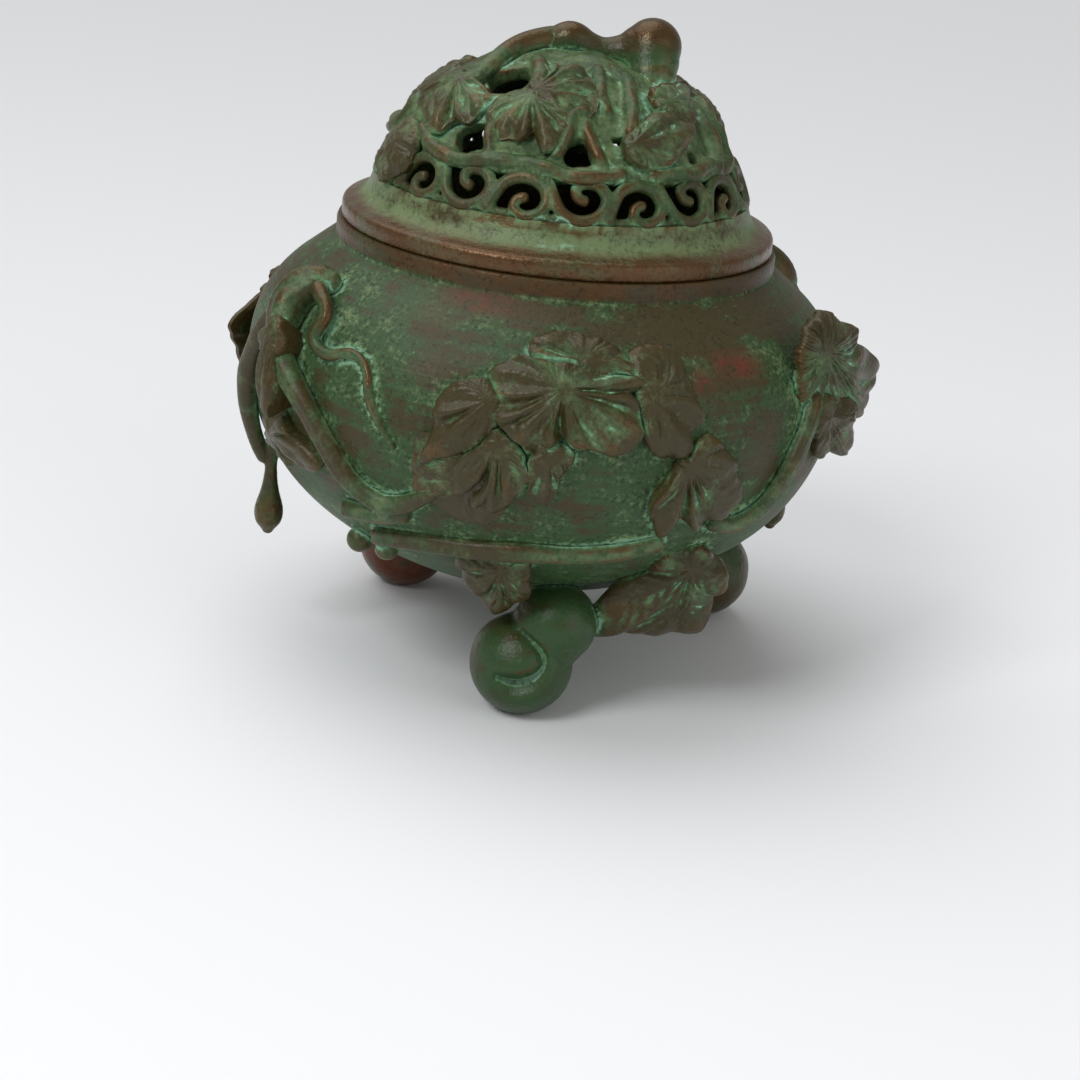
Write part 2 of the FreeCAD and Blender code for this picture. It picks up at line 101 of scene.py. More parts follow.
# Azimuth 0 is the front (-Y) and grows towards +X. Lobes are pairs of direction in degrees and reach in
# millimetres, counter-clockwise, with 0 along growing azimuth and 90 up the wall.
# Leaves of a cluster: azimuth, height, lift off the bowl, points of the outline, and creases as direction,
# depth and half width
CLUSTER = {
    "top_leaf": (8.0, 69.4, 1.5, (
        (-173, 7.8), (-162, 4.8), (-90, 3.0), (-21, 5.6), (-16, 10.9), (0, 8.3), (24, 6.2), (81, 5.2),
        (113, 6.2), (126, 6.9), (139, 7.6), (159, 9.0), (166, 9.5), (173, 9.6), (180, 8.9)),
        ((174, 0.6, 12), (14, 0.9, 12), (-60, 0.4, 20))),
    "right_leaf": (19.0, 64.5, 1.5, (
        (-170, 2.2), (-133, 2.3), (-94, 6.3), (-85, 8.2), (-76, 9.6), (-56, 11.7), (-44, 11.5),
        (-34, 10.0), (-27, 10.3), (-20, 11.0), (-14, 10.8), (7, 8.4), (36, 9.3), (45, 9.7), (62, 9.8),
        (81, 9.5), (92, 9.2), (102, 8.8), (109, 8.2), (140, 3.0)),
        ((-26, 1.1, 11), (-68, 0.6, 9), (-88, 0.8, 10), (66, 0.5, 20))),
    "left_leaf": (-8.5, 62.6, 1.7, (
        (-180, 8.3), (-171, 9.1), (-149, 10.6), (-134, 15.1), (-130, 16.0), (-126, 12.8), (-103, 9.3),
        (-81, 6.2), (-64, 4.6), (-47, 2.6), (17, 1.8), (108, 3.6), (162, 6.8)),
        ((-148, 1.3, 8), (-172, 0.4, 9), (-108, 0.6, 12))),
    "small_leaf": (2.5, 55.9, 1.2, (
        (-148, 4.1), (-114, 6.8), (-110, 8.6), (-104, 9.3), (-96, 9.8), (-88, 9.6), (-83, 9.0), (-77, 7.9),
        (-69, 5.5), (-19, 4.2), (-3, 4.1), (18, 3.3), (40, 2.2), (96, 1.8), (160, 2.6)),
        ((-83, 1.3, 8), (-101, 1.0, 7), (-48, 0.8, 14))),
    "lower_left_leaf": (-6.0, 56.9, 1.9, (
        (-160, 3.2), (-150, 6.6), (-144, 9.4), (-135, 11.0), (-128, 12.1), (-122, 12.8), (-119, 11.8),
        (-114, 11.6), (-108, 13.0), (-98, 12.9), (-92, 13.4), (-88, 13.4), (-81, 12.1), (-48, 8.9),
        (-22, 4.5), (-5, 2.9), (96, 2.0), (143, 2.2)),
        ((-116, 1.5, 7), (-101, 0.7, 6), (-86, 1.0, 7), (-62, 1.1, 11), (-136, 0.6, 8))),
    "lower_right_leaf": (26.6, 54.0, 1.8, (
        (-150, 2.4), (-136, 4.4), (-132, 7.4), (-123, 9.5), (-98, 14.3), (-93, 14.5), (-87, 13.9),
        (-82, 10.5), (-72, 12.8), (-67, 13.9), (-62, 14.0), (-49, 13.9), (-35, 14.2), (-29, 13.9),
        (-21, 13.2), (-2, 10.0), (26, 7.7), (41, 7.1), (50, 6.6), (57, 5.2), (63, 3.9), (75, 2.0),
        (140, 2.0)),
        ((-82, 1.7, 8), (-59, 1.2, 8), (-38, 0.7, 8), (-16, 0.5, 10), (-112, 0.8, 9), (14, 0.5, 12))),
    "middle_leaf": (3.7, 65.2, 2.4, (
        (-152, 11.6), (-145, 11.5), (-123, 10.7), (-113, 11.7), (-98, 9.0), (-83, 7.1), (-78, 8.6),
        (-73, 9.1), (-60, 9.9), (-49, 13.1), (-39, 14.4), (-34, 14.8), (-29, 15.0), (-24, 14.8),
        (-11, 12.8), (2, 11.3), (4, 13.7), (7, 15.0), (11, 13.4), (60, 4.9), (100, 4.4), (120, 5.2),
        (138, 6.4), (143, 7.4), (147, 8.7), (164, 11.1), (174, 12.3), (179, 12.2)),
        ((-83, 1.7, 9), (-49, 1.0, 6), (-34, 0.6, 9), (-14, 1.0, 6), (2, 0.9, 6), (30, 0.6, 12),
         (110, 0.8, 14), (158, 0.7, 9), (178, 0.5, 7), (-162, 0.8, 7), (-140, 0.7, 8), (-112, 1.0, 8))),
}
# The lower left leaf's low sheet, behind the others: azimuth, height, lift, outline, creases
LOW_SHEET = (-10.6, 51.1, 0.6, (
    (-160, 10.5), (-150, 11.8), (-142, 11.4), (-134, 10.3), (-103, 10.5), (-94, 10.5), (-76, 11.2),
    (-59, 9.9), (-33, 8.2), (9, 6.6), (52, 5.0), (140, 8.4), (152, 10.2), (163, 10.8)),
    ((-155, 0.5, 14), (-112, 0.6, 14)))
# Leaves of a handle: azimuth, height, lift off the bowl, lobes
HANDLE_LEAVES = {
    "tongue_leaf": (-53.4, 63.4, 5.0, ((-128, 3.8), (-78, 12.8), (-30, 3.6), (90, 2.6))),
    "lower_leaf": (-55.9, 46.1, 1.8, ((-120, 5.2), (-60, 6.2), (-7, 14.2), (40, 6.4), (130, 3.8))),
}
# Vines: azimuth, height, lift of the centre line off the wall, radius
VINE = (
    (-52.8, 72.6, 1.2, 2.0), (-55.6, 71.6, 2.2, 3.0), (-57.5, 68.0, 2.4, 3.8), (-53.0, 61.0, 2.4, 2.5),
    (-45.5, 55.4, 1.6, 2.1), (-40.2, 49.6, 1.0, 1.9), (-35.1, 43.6, 0.8, 1.8), (-29.0, 40.8, 0.8, 1.7),
    (-23.5, 41.7, 0.8, 1.6), (-17.5, 45.4, 0.8, 1.5),
)
TENDRIL = (
    (-52.5, 71.0, 2.6, 1.4), (-46.0, 68.8, 2.2, 1.3), (-46.4, 65.0, 1.4, 1.2), (-42.5, 63.6, 0.6, 1.1),
    (-37.5, 65.0, 0.3, 1.0), (-33.2, 63.6, 0.3, 0.9), (-30.9, 59.0, 0.2, 0.8), (-28.3, 55.3, 0.2, 0.65),
    (-25.4, 51.8, 0.1, 0.5),
)
SIDE_VINE = (
    (60.0, 61.0, 0.9, 1.7), (56.0, 55.0, 0.9, 1.7), (52.5, 49.0, 0.9, 1.7), (49.0, 43.5, 0.9, 1.6),
    (43.0, 40.5, 0.8, 1.6), (37.0, 41.5, 0.6, 1.5),
)
CUT_STUB = ((-24.0, 39.6, 0.7, 1.6), (-30.0, 37.8, 0.8, 1.7), (-38.0, 37.0, 1.1, 1.8))
RIBBON = (
    (-33.0, 32.2, 0.9, 1.7), (-26.0, 33.2, 0.6, 1.8), (-19.0, 34.0, 0.5, 1.8), (-11.0, 34.6, 0.6, 1.8),
    (-2.0, 35.4, 0.6, 1.8), (8.0, 35.6, 0.6, 1.8), (18.0, 36.4, 0.6, 1.7), (26.0, 38.0, 0.5, 1.5),
)
# Buds: azimuth, height, lift of the middle off the wall, radius
BUDS = ((-43.0, 28.6, 1.2, 2.4), (-33.0, 29.6, 1.2, 2.2))
DROP_STEM = (
    (-58.5, 67.0, 2.6, 2.1), (-67.0, 56.0, 1.4, 2.0), (-71.0, 47.0, 1.6, 1.9), (-73.0, 37.0, 2.4, 1.5),
)
# The hanging gourd: its place, then heights and radii down its length
DROP_AT = (-48.8, -15.2)
DROP_SECTION = ((38.0, 1.4), (33.5, 1.2), (29.5, 1.7), (25.8, 2.7), (23.2, 2.5), (21.4, 1.2))
# Free leaves: hub, azimuth and elevation of the face, lobes
EAR_LEAF = ((47.7, -27.9, 70.0), 50.0, 0.0, (
    (-95, 11.0), (-65, 16.5), (-38, 24.4), (-16, 24.6), (10, 12.0), (45, 7.6), (90, 7.0), (158, 5.6)))
UNDER_LEAF = ((50.6, -27.5, 58.4), 50.0, -15.0, (
    (-120, 4.5), (-64, 12.0), (-37, 19.0), (-8, 12.0), (60, 3.5)))
LEFT_EAR_DROP = 10.0
FOOT_LARGE_LEAF = ((29.0, -38.8, 31.7), 15.0, -15.0, (
    (-130, 25.0), (-104, 18.5), (-70, 18.0), (-30, 9.5), (60, 4.5), (165, 6.5)))
FOOT_SMALL_LEAF = ((-3.6, -46.4, 31.0), -8.0, -15.0, (
    (-178, 8.5), (-132, 9.5), (-96, 12.0), (-56, 8.5), (0, 5.0), (110, 5.0)))
# Feet: azimuth, distance from the axis, and -1 for the one that is the mirror image of the others
FEET = {"front": (2.0, 37.4, 1), "left": (-127.0, 31.0, -1), "right": (117.0, 41.5, 1)}
# A foot's lower bulb: height of its middle and radius; its upper bulb: how far it leans aside, height of
# its middle and radius; and the least radius of the neck between them
FOOT_LOW_BULB = (9.0, 9.4)
FOOT_HIGH_BULB = (5.6, 17.3757, 7.4)
FOOT_NECK = 7.0
# The curl of a foot: a comma-shaped hollow in its outer face, wide at its eye and running out upwards, as
# places across and up the face and half widths
FOOT_CURL = (
    (-3.6, 8.6, 1.3), (-1.8, 8.0, 1.8), (0.6, 8.4, 1.8), (2.8, 10.0, 1.3), (3.8, 12.2, 0.9),
    (2.4, 15.0, 0.7), (-0.4, 17.0, 0.6),
)
# Leaves of the dome: azimuth, height, outline and creases, or lobes and None
DOME_LEAVES = {
    "upper": (-14.0, 107.6, (
        (-133, 2.3), (-74, 2.9), (-39, 6.4), (-28, 8.3), (-24, 10.3), (-13, 10.7), (11, 9.9), (40, 9.4),
        (63, 8.9), (89, 8.3), (111, 9.5), (122, 5.0), (170, 2.2)),
        ((75, 0.8, 10), (38, 0.8, 10), (2, 1.0, 9), (-22, 0.6, 7), (100, 0.6, 7))),
    "small_left": (-62.0, 95.6, (
        (-140, 7.0), (-90, 7.0), (-35, 6.0), (30, 5.0), (105, 5.6), (170, 7.0)), None),
    "left": (-56.8, 106.9, (
        (-175, 11.5), (-165, 12.8), (-152, 11.6), (-121, 9.2), (-93, 9.6), (-76, 11.8), (-66, 11.5),
        (-58, 10.0), (-49, 9.7), (-40, 11.7), (-31, 11.4), (-21, 10.8), (-10, 9.9), (-1, 6.8), (18, 3.8),
        (80, 3.2), (141, 3.8), (163, 7.6), (176, 10.6)),
        ((-112, 1.0, 9), (-57, 1.3, 8), (-36, 0.5, 7), (-84, 0.6, 7), (-140, 0.8, 8), (-12, 0.8, 8),
         (170, 0.6, 9))),
    "middle": (-16.0, 106.6, (
        (-165, 6.3), (-152, 8.4), (-140, 9.1), (-123, 9.2), (-110, 9.3), (-101, 8.2), (-90, 8.4),
        (-78, 7.5), (-72, 6.2), (-69, 9.0), (-65, 11.3), (-59, 11.5), (-48, 10.6), (-30, 9.0), (-18, 8.0),
        (-5, 4.5), (62, 3.0), (146, 2.9)),
        ((-74, 1.5, 7), (-101, 0.7, 7), (-130, 0.8, 9), (-45, 0.8, 8), (-25, 0.6, 8), (-152, 0.6, 8))),
    "right": (22.9, 101.1, (
        (-156, 1.8), (-113, 2.4), (-83, 3.6), (-52, 5.2), (-28, 7.6), (-7, 10.5), (5, 13.5), (9, 14.5),
        (18, 15.0), (27, 14.5), (34, 13.6), (46, 11.7), (53, 8.4), (69, 4.6), (110, 2.4), (148, 1.8)),
        ((52, 0.8, 8), (24, 0.9, 8), (-2, 1.0, 9), (-44, 0.8, 10), (38, 0.5, 6), (10, 0.5, 6))),
    "right_tip": (48.0, 106.8, (
        (-100, 3.4), (-48, 6.0), (-6, 9.4), (16, 13.4), (44, 7.0), (110, 4.0), (180, 3.0)), None),
    "back_right": (118.0, 104.0, (
        (-150, 10.5), (-118, 9.0), (-88, 11.5), (-35, 11.0), (30, 9.5), (100, 7.0), (160, 8.5)), None),
    "back": (176.0, 104.4, (
        (-150, 11.0), (-95, 9.5), (-40, 11.0), (20, 9.5), (95, 7.0), (160, 9.0)), None),
    "back_left": (-120.0, 103.6, (
        (-150, 10.0), (-90, 10.5), (-35, 10.5), (30, 9.0), (100, 7.0), (160, 9.0)), None),
}
# Smoke holes of the dome: azimuth, height, half width, half height
SMOKE_HOLES = (
    (-37.0, 109.3, 4.4, 4.6), (-34.6, 100.5, 4.0, 3.2), (4.4, 100.4, 3.0, 3.2), (20.6, 102.6, 1.8, 1.1),
    (50.5, 99.7, 1.5, 1.4), (90.0, 101.0, 3.0, 2.8), (95.0, 109.5, 2.8, 2.6), (147.0, 100.5, 3.1, 2.9),
    (150.0, 109.0, 2.9, 2.7), (-152.0, 101.0, 3.0, 2.8), (-92.0, 100.0, 2.9, 2.7),
    (-140.0, 109.8, 2.9, 2.7),
)
# The finial's stem on the dome, as the vines are
STEM = (
    (-53.0, 108.2, 0.5, 1.6), (-56.0, 110.4, 0.8, 1.8), (-65.0, 112.3, 1.0, 2.0), (-77.0, 113.6, 1.1, 2.2),
    (-88.0, 114.15, 1.2, 2.3),
)
# Tendrils cast in one with the dome, from leaf to leaf and round its holes
DOME_RELIEF = (
    ((-45.0, 112.4, 0.1, 1.3), (-33.0, 112.4, 0.3, 1.5), (-21.0, 110.9, 0.4, 1.6), (-18.0, 108.9, 0.4, 1.5),
     (-24.0, 107.2, 0.3, 1.2), (-38.0, 105.4, 0.2, 1.2)),
    ((-58.0, 99.4, 0.0, 1.2), (-49.0, 97.6, 0.2, 1.5), (-36.0, 96.6, 0.3, 1.5), (-24.0, 97.4, 0.3, 1.4),
     (-12.0, 98.2, 0.2, 1.3), (-4.5, 97.4, 0.2, 1.2), (6.0, 96.4, 0.2, 1.3), (19.0, 97.6, 0.1, 1.2)),
    ((-24.5, 98.4, 0.1, 1.1), (-27.0, 101.0, 0.3, 1.3), (-29.5, 104.0, 0.2, 1.2)),
    ((6.6, 106.2, 0.2, 1.3), (2.0, 105.2, 0.4, 1.4), (0.4, 102.9, 0.4, 1.4), (-2.6, 99.6, 0.2, 1.2)),
    ((7.0, 104.4, 0.2, 1.1), (9.6, 101.9, 0.3, 1.3), (13.0, 98.6, 0.1, 1.2)),
    ((17.5, 111.7, 0.2, 1.3), (15.0, 109.3, 0.4, 1.4), (17.2, 106.7, 0.2, 1.2)),
    ((31.5, 111.7, 0.3, 1.4), (36.0, 110.4, 0.5, 1.6), (30.0, 107.6, 0.4, 1.5), (25.0, 103.6, 0.2, 1.3)),
    ((63.0, 108.2, 0.1, 1.2), (73.0, 106.1, 0.4, 1.4), (68.0, 103.0, 0.4, 1.4), (67.0, 100.0, 0.3, 1.3),
     (61.0, 97.6, 0.2, 1.2)),
    ((30.0, 97.4, 0.1, 1.2), (38.5, 97.6, 0.3, 1.4), (46.0, 97.2, 0.3, 1.4), (58.0, 98.4, 0.3, 1.3)),
    ((72.0, 97.6, 0.1, 1.2), (82.0, 104.6, 0.4, 1.5), (97.0, 105.6, 0.3, 1.4), (103.0, 100.0, 0.2, 1.3)),
    ((104.0, 112.0, 0.2, 1.3), (120.0, 112.6, 0.4, 1.6), (138.0, 106.0, 0.4, 1.5), (136.0, 98.0, 0.2, 1.3)),
    ((158.0, 97.4, 0.2, 1.3), (160.0, 104.6, 0.4, 1.5), (143.0, 112.4, 0.4, 1.5), (165.0, 113.4, 0.2, 1.2)),
    ((-166.0, 97.6, 0.2, 1.3), (-160.0, 105.6, 0.4, 1.5), (-136.0, 106.6, 0.4, 1.5),
     (-130.0, 112.6, 0.3, 1.3)),
    ((-142.0, 97.4, 0.2, 1.3), (-104.0, 97.0, 0.3, 1.5), (-84.0, 97.2, 0.3, 1.4), (-80.0, 103.6, 0.3, 1.4),
     (-90.0, 105.4, 0.2, 1.3)),
)
# The finial's gourd: places across and up with radii, then the bulbs with their places
FINIAL_GOURD = (
    (-5.4, 113.9, 2.2), (-1.2, 115.4, 3.3), (2.2, 114.4, 2.8), (5.0, 113.8, 2.6), (8.4, 114.2, 3.0),
    (10.5, 114.8, 3.9), (12.4, 115.3, 4.8),
)
FINIAL_BULBS = (
    (13.9, 0.0, 115.4, 5.3), (-1.2, 0.0, 115.4, 3.3), (14.0, -1.6, 113.1, 5.0), (14.1, -3.2, 110.8, 4.6),
    (13.9, -6.4, 108.4, 3.2),
)
# The lid's spigot: bore, radius and depth; its cove: radii and heights above the rim's band
SPIGOT = (33.2, 36.2, 4.0)
COVE = ((38.2, 0.35), (37.2, 0.7), (36.4, 1.15), (35.8, 1.8), (35.4, 2.7), (35.0, 3.8))
# Azimuth of the first volute of the scroll, which opens downwards
SCROLL_START = -29.5
# One wave of the scroll, from its foot over its crest to its hooked tip, in parts of its half width, its
# half height and its bar
SCROLL_WAVE = (
    (-1.15, -0.95, 1.0), (-0.92, -0.1, 1.0), (-0.6, 0.66, 1.0), (0.0, 1.0, 1.05), (0.62, 0.66, 1.05),
    (0.86, -0.1, 1.0), (0.66, -0.78, 1.0), (0.16, -1.0, 0.95), (-0.2, -0.7, 0.9), (-0.16, -0.22, 0.85),
    (0.1, -0.06, 0.95),
)
# Patches of red oxide on the bowl: azimuth, height, half width, half height, strength
RED_PATCHES = (
    (41.5, 68.6, 4.4, 1.9, 1.0), (37.0, 69.0, 2.4, 1.8, 0.9), (31.1, 66.6, 2.0, 2.4, 0.8),
    (-16.0, 76.0, 6.5, 1.7, 0.8), (-24.0, 73.4, 5.0, 2.0, 0.3), (150.0, 64.0, 4.0, 2.6, 0.8),
    (-140.0, 58.0, 3.0, 2.4, 0.7),
)
# Zones that handling keeps brown, and a band on the bowl's neck painted brown metal as a painted highlight:
# # piece, height where the rubbing starts, height where it is full, strength, redness and how far the
# hollows
# # are kept clean
RUBBED_AND_HIGHLIGHT_ZONES = (
    ("lid_flange_cast", 86.2, 84.4, 1.0, 0.3, 0.0),
    ("finial_gourd_cast", 113.2, 117.6, 1.0, 0.0, 0.0),
    ("finial_stem_cast", 110.0, 115.0, 0.9, 0.0, 0.0),
    ("left_hanging_gourd_cast", 36.0, 28.0, 0.8, 0.0, 0.0),
    ("right_hanging_gourd_cast", 36.0, 28.0, 0.8, 0.0, 0.0),
    ("front_foot_cast", 19.0, 24.0, 0.7, 0.0, 0.0),
    ("left_foot_cast", 20.0, 14.0, 0.9, 0.8, 0.0),
    ("right_foot_cast", 18.0, 12.0, 0.6, 0.2, 0.0),
    ("bowl_cast", 73.0, 77.0, 0.25, 0.0, 0.0),
    # This band on the neck is a painted highlight: brown metal where the neck shines pale
    ("bowl_cast", 76.6, 78.2, 1.35, 0.12, 0.9),
)
# Weathering, in millimetres: how far off a neighbour still counts, how near it makes a crevice, how far the
# form is smoothed to find its crests, and how deep a full hollow is
NEIGHBOUR_REACH = 3.0
CREVICE = 1.5
SMOOTHED = 1.3
FULL_HOLLOW = 0.22
# Finishes: share of green, how far it is rubbed, how much the brush shows, roughness, pale film and crust
FINISHES = {
    "bowl_bronze": (0.56, 0.0, 1.0, 0.50, 0.20, 0.5),
    "leaf_bronze": (0.32, 0.14, 0.0, 0.36, 0.36, 1.0),
    "vine_bronze": (0.50, 0.24, 0.0, 0.40, 0.40, 0.9),
    "foot_bronze": (0.62, 0.10, 0.0, 0.34, 0.14, 0.8),
    # The rim's thick pale film is partly painted light on its upward cove
    "lid_rim_bronze": (0.55, 0.35, 0.2, 0.36, 0.72, 0.7),
    "lid_openwork_bronze": (0.55, 0.30, 0.0, 0.42, 0.36, 1.0),
    "finial_bronze": (0.45, 0.32, 0.0, 0.32, 0.22, 1.0),
}
# Grain of the patina: size in millimetres, detail, roughness and stretch. The casting's grit is finer than
# a picture shows, so its specks are drawn at 0.8 mm.
GRAINS = {
    "broad": (20.0, 3.0, 0.55, (1.0, 1.0, 1.0)),
    "cloud": (6.0, 4.0, 0.62, (1.0, 1.0, 1.0)),
    "patch": (2.6, 3.0, 0.55, (1.0, 1.0, 1.0)),
    "speck": (0.8, 3.0, 0.65, (1.0, 1.0, 1.0)),
    "streak": (12.0, 4.0, 0.6, (0.22, 0.22, 7.0)),
}
# Heights in metres between which the lid's paler patina sets in and ends; the extra pale is partly the
# lid's
# # own patina and partly painted light, as the lid faces up into the light
LID_FOOT = (0.0865, 0.093)
LID_TOP = (0.112, 0.117)
# Lamps: kind, place in metres, size in radians or metres, power
LAMPS = {
    "sky": ("SUN", (-0.3, 0.25, 0.9), math.radians(60), 1.35),
    "window": ("AREA", (-0.42, -0.5, 0.65), 0.32, 3.2),
    "fill": ("AREA", (0.7, -0.6, 0.35), 0.8, 1.6),
}
LAMPS_AIM = (0, 0, 0.06)
WORLD_STRENGTH = 0.42
# The camera: place in metres, yaw, pitch and roll in degrees, focal length in widths of the picture
CAMERA_PLACE = (0, -0.39077, 0.16624)
CAMERA_TURN = (0.4016, 20.669, 5.837)
CAMERA_FOCAL = 2127.33 / 1080


def linear(code):
    """An sRGB hex colour as linear RGBA."""
    parts = [int(code[at:at + 2], 16) / 255 for at in (1, 3, 5)]
    return [p / 12.92 if p <= 0.04045 else ((p + 0.055) / 1.055) ** 2.4 for p in parts] + [1.0]


def length(name, description, default):
    """A size that a user may change."""
    return FloatProperty(name=name, description=description, default=default, unit="LENGTH", min=0.0)


def colour(name, description, code):
    """A colour that a user may change."""
    return FloatVectorProperty(name=name, description=description, default=linear(code), size=4,
                               subtype="COLOR", min=0.0, max=1.0)


class BowlSizes(bpy.types.PropertyGroup):
    rim_z: length("Rim height", "Height of the bowl's rim above the table", 0.0808)
    neck_r: length("Neck radius", "Outside radius of the neck", 0.0408)
    bore_r: length("Bore radius", "Inside radius of the neck", 0.0366)
    belly_r: length("Belly radius", "Radius where the bowl is widest", 0.0557)
    belly_z: length("Belly height", "Height where the bowl is widest", 0.0553)
    shoulder_arc: length("Shoulder arc", "Radius of the shoulder's curve", 0.0215)
    lower_arc: length("Lower arc", "Radius of the curve below the belly", 0.0345)
    wall: length("Wall", "Thickness of the wall", 0.003)
    shoulder_turn: FloatProperty(name="Shoulder turn", description="Where the shoulder's curve ends",
                                 default=math.radians(51.5), subtype="ANGLE")
    lower_turn: FloatProperty(name="Lower turn", description="Where the lower curve ends",
                              default=math.radians(52.0), subtype="ANGLE")


class LidSizes(bpy.types.PropertyGroup):
    flange_r: length("Rim radius", "Radius of the lid's rim", 0.040)
    band: length("Band height", "Height of the rim's band", 0.0033)
    gallery_foot: length("Gallery foot", "Height of the gallery's foot above the bowl's rim", 0.0085)
    gallery: length("Gallery height", "Height of the scroll gallery", 0.0074)
    dome_r: length("Dome radius", "Radius of the dome's sphere", 0.0365)
    dome_drop: length("Dome drop", "How far the sphere's centre lies below the rim", 0.003)
    wall: length("Wall", "Thickness of the dome", 0.003)
    scroll_bar: length("Scroll bar", "Radius of the scroll's bars", 0.0011)
    waves: IntProperty(name="Waves", description="Waves of the scroll round the gallery", default=10, min=4)


class LeafSizes(bpy.types.PropertyGroup):
    notch: FloatProperty(name="Notch", description="How deep the outline is notched between lobes",
                         default=0.8)
    pleat: length("Pleat", "Depth of the creases between the lobes", 0.0015)
    vein: length("Vein", "Height of a vein's crest", 0.00035)
    edge: length("Edge", "Thickness of a leaf's edge", 0.0011)
    undercut: length("Undercut", "How far the metal under a leaf's edge is set back", 0.0007)
    crown: length("Crown", "How far the middle of a leaf stands above its edge", 0.0011)
    stand: length("Stand", "How far a leaf's highest folds stand above its lift", 0.0015)


class PatinaColours(bpy.types.PropertyGroup):
    bronze: colour("Bronze", "Rubbed brown bronze on the high spots", "#54391f")
    ground: colour("Ground", "Dark olive-brown ground of the patina", "#3c351a")
    green: colour("Green", "Green patina over much of the metal", "#2f4a28")
    film: colour("Film", "Pale sage film over the green", "#74855c")
    verdigris: colour("Verdigris", "Pale green in the hollows", "#5a8a60")
    bloom: colour("Bloom", "Mint bloom deep in the crevices", "#92bfa2")
    oxide: colour("Red oxide", "Red oxide patches", "#5f2c1c")
    # Dark dirt in the pits; in the deepest seams it is painted shade as well as dirt
    dirt_and_shade: colour("Dirt", "Dark dirt in pits and seams", "#16140c")


class Wall:
    """A turned wall's section from its foot upwards, in millimetres: radius, height, slope, length."""

    def __init__(self, samples):
        table = np.array(samples)
        self.r = table[:, 0]
        self.z = table[:, 1]
        self.tilt = table[:, 2]
        steps = np.hypot(np.diff(self.r), np.diff(self.z))
        self.s = np.concatenate(([0.0], np.cumsum(steps)))

    def lay(self, azimuth, z):
        """A function that lays flat places round one point of the wall, at a lift off it."""
        foot = np.interp(z, self.z, self.s)
        radius = np.interp(z, self.z, self.r)

        def place(x, y, lift):
            s = foot + np.asarray(y, float)
            r = np.interp(s, self.s, self.r)
            turn = math.radians(azimuth) + x / np.maximum(r, 0.6 * radius)
            tilt = np.interp(s, self.s, self.tilt)
            reach = r + lift * np.cos(tilt)
            high = np.interp(s, self.s, self.z) + lift * np.sin(tilt)
            return np.stack((reach * np.sin(turn), -reach * np.cos(turn), high), axis=-1)

        return place


def bowl_wall(bowl, grow=0.0, step=0.5):
    """The bowl's section, its wall moved out by grow."""
    lower = (bowl.belly_r - bowl.lower_arc) / MM
    shoulder = (bowl.belly_r - bowl.shoulder_arc) / MM
    belly_z = bowl.belly_z / MM
    lower_arc = bowl.lower_arc / MM
    base_arc = lower_arc + lower / math.cos(bowl.lower_turn)
    base_z = belly_z + lower * math.tan(bowl.lower_turn)
    arcs = ((0.0, base_z, base_arc, -math.pi / 2, -bowl.lower_turn),
            (lower, belly_z, lower_arc, -bowl.lower_turn, 0.0),
            (shoulder, belly_z, bowl.shoulder_arc / MM, 0.0, bowl.shoulder_turn))
    samples = []
    for centre, z, radius, start, end in arcs:
        count = round(radius * (end - start) / step)
        for turn in np.linspace(start, end, count, endpoint=False):
            reach = radius + grow
            samples.append((centre + reach * math.cos(turn), z + reach * math.sin(turn), turn))
    radius, z, tilt = samples[-1]
    neck = (bowl.neck_r if grow >= 0 else bowl.bore_r) / MM
    for r in np.linspace(radius, neck, 16)[1:]:
        samples.append((r, z + (radius - r) / math.tan(bowl.shoulder_turn), bowl.shoulder_turn))
    return Wall(samples)


def dome_wall(lid, bowl):
    """The dome's section, from just below the gallery's foot."""
    radius = lid.dome_r / MM
    centre = (bowl.rim_z - lid.dome_drop) / MM
    foot = math.asin((lid.gallery_foot + lid.dome_drop) / lid.dome_r)
    turns = np.linspace(foot - 0.15, math.pi / 2, 120)
    return Wall([(radius * math.cos(turn), centre + radius * math.sin(turn), turn) for turn in turns])


def flat_lay(hub, azimuth, elevation, bow=0.0):
    """A function that lays flat places on a plane, bowed back at its edges."""
    turn = math.radians(azimuth)
    tilt = math.radians(elevation)
    normal = np.array((math.cos(tilt) * math.sin(turn), -math.cos(tilt) * math.cos(turn), math.sin(tilt)))
    along = np.array((math.cos(turn), math.sin(turn), 0.0))
    up = np.cross(normal, along)

    def place(x, y, lift):
        x, y, lift = np.broadcast_arrays(x, y, lift)
        lift = lift - bow * (x * x + y * y)
        return np.array(hub) + x[..., None] * along + y[..., None] * up + lift[..., None] * normal

    return place


def positions(bm):
    """The places of a form's vertices."""
    return np.array([vert.co for vert in bm.verts])


def move(bm, places):
    """Puts a form's vertices at new places."""
    for vert, place in zip(bm.verts, places):
        vert.co = place


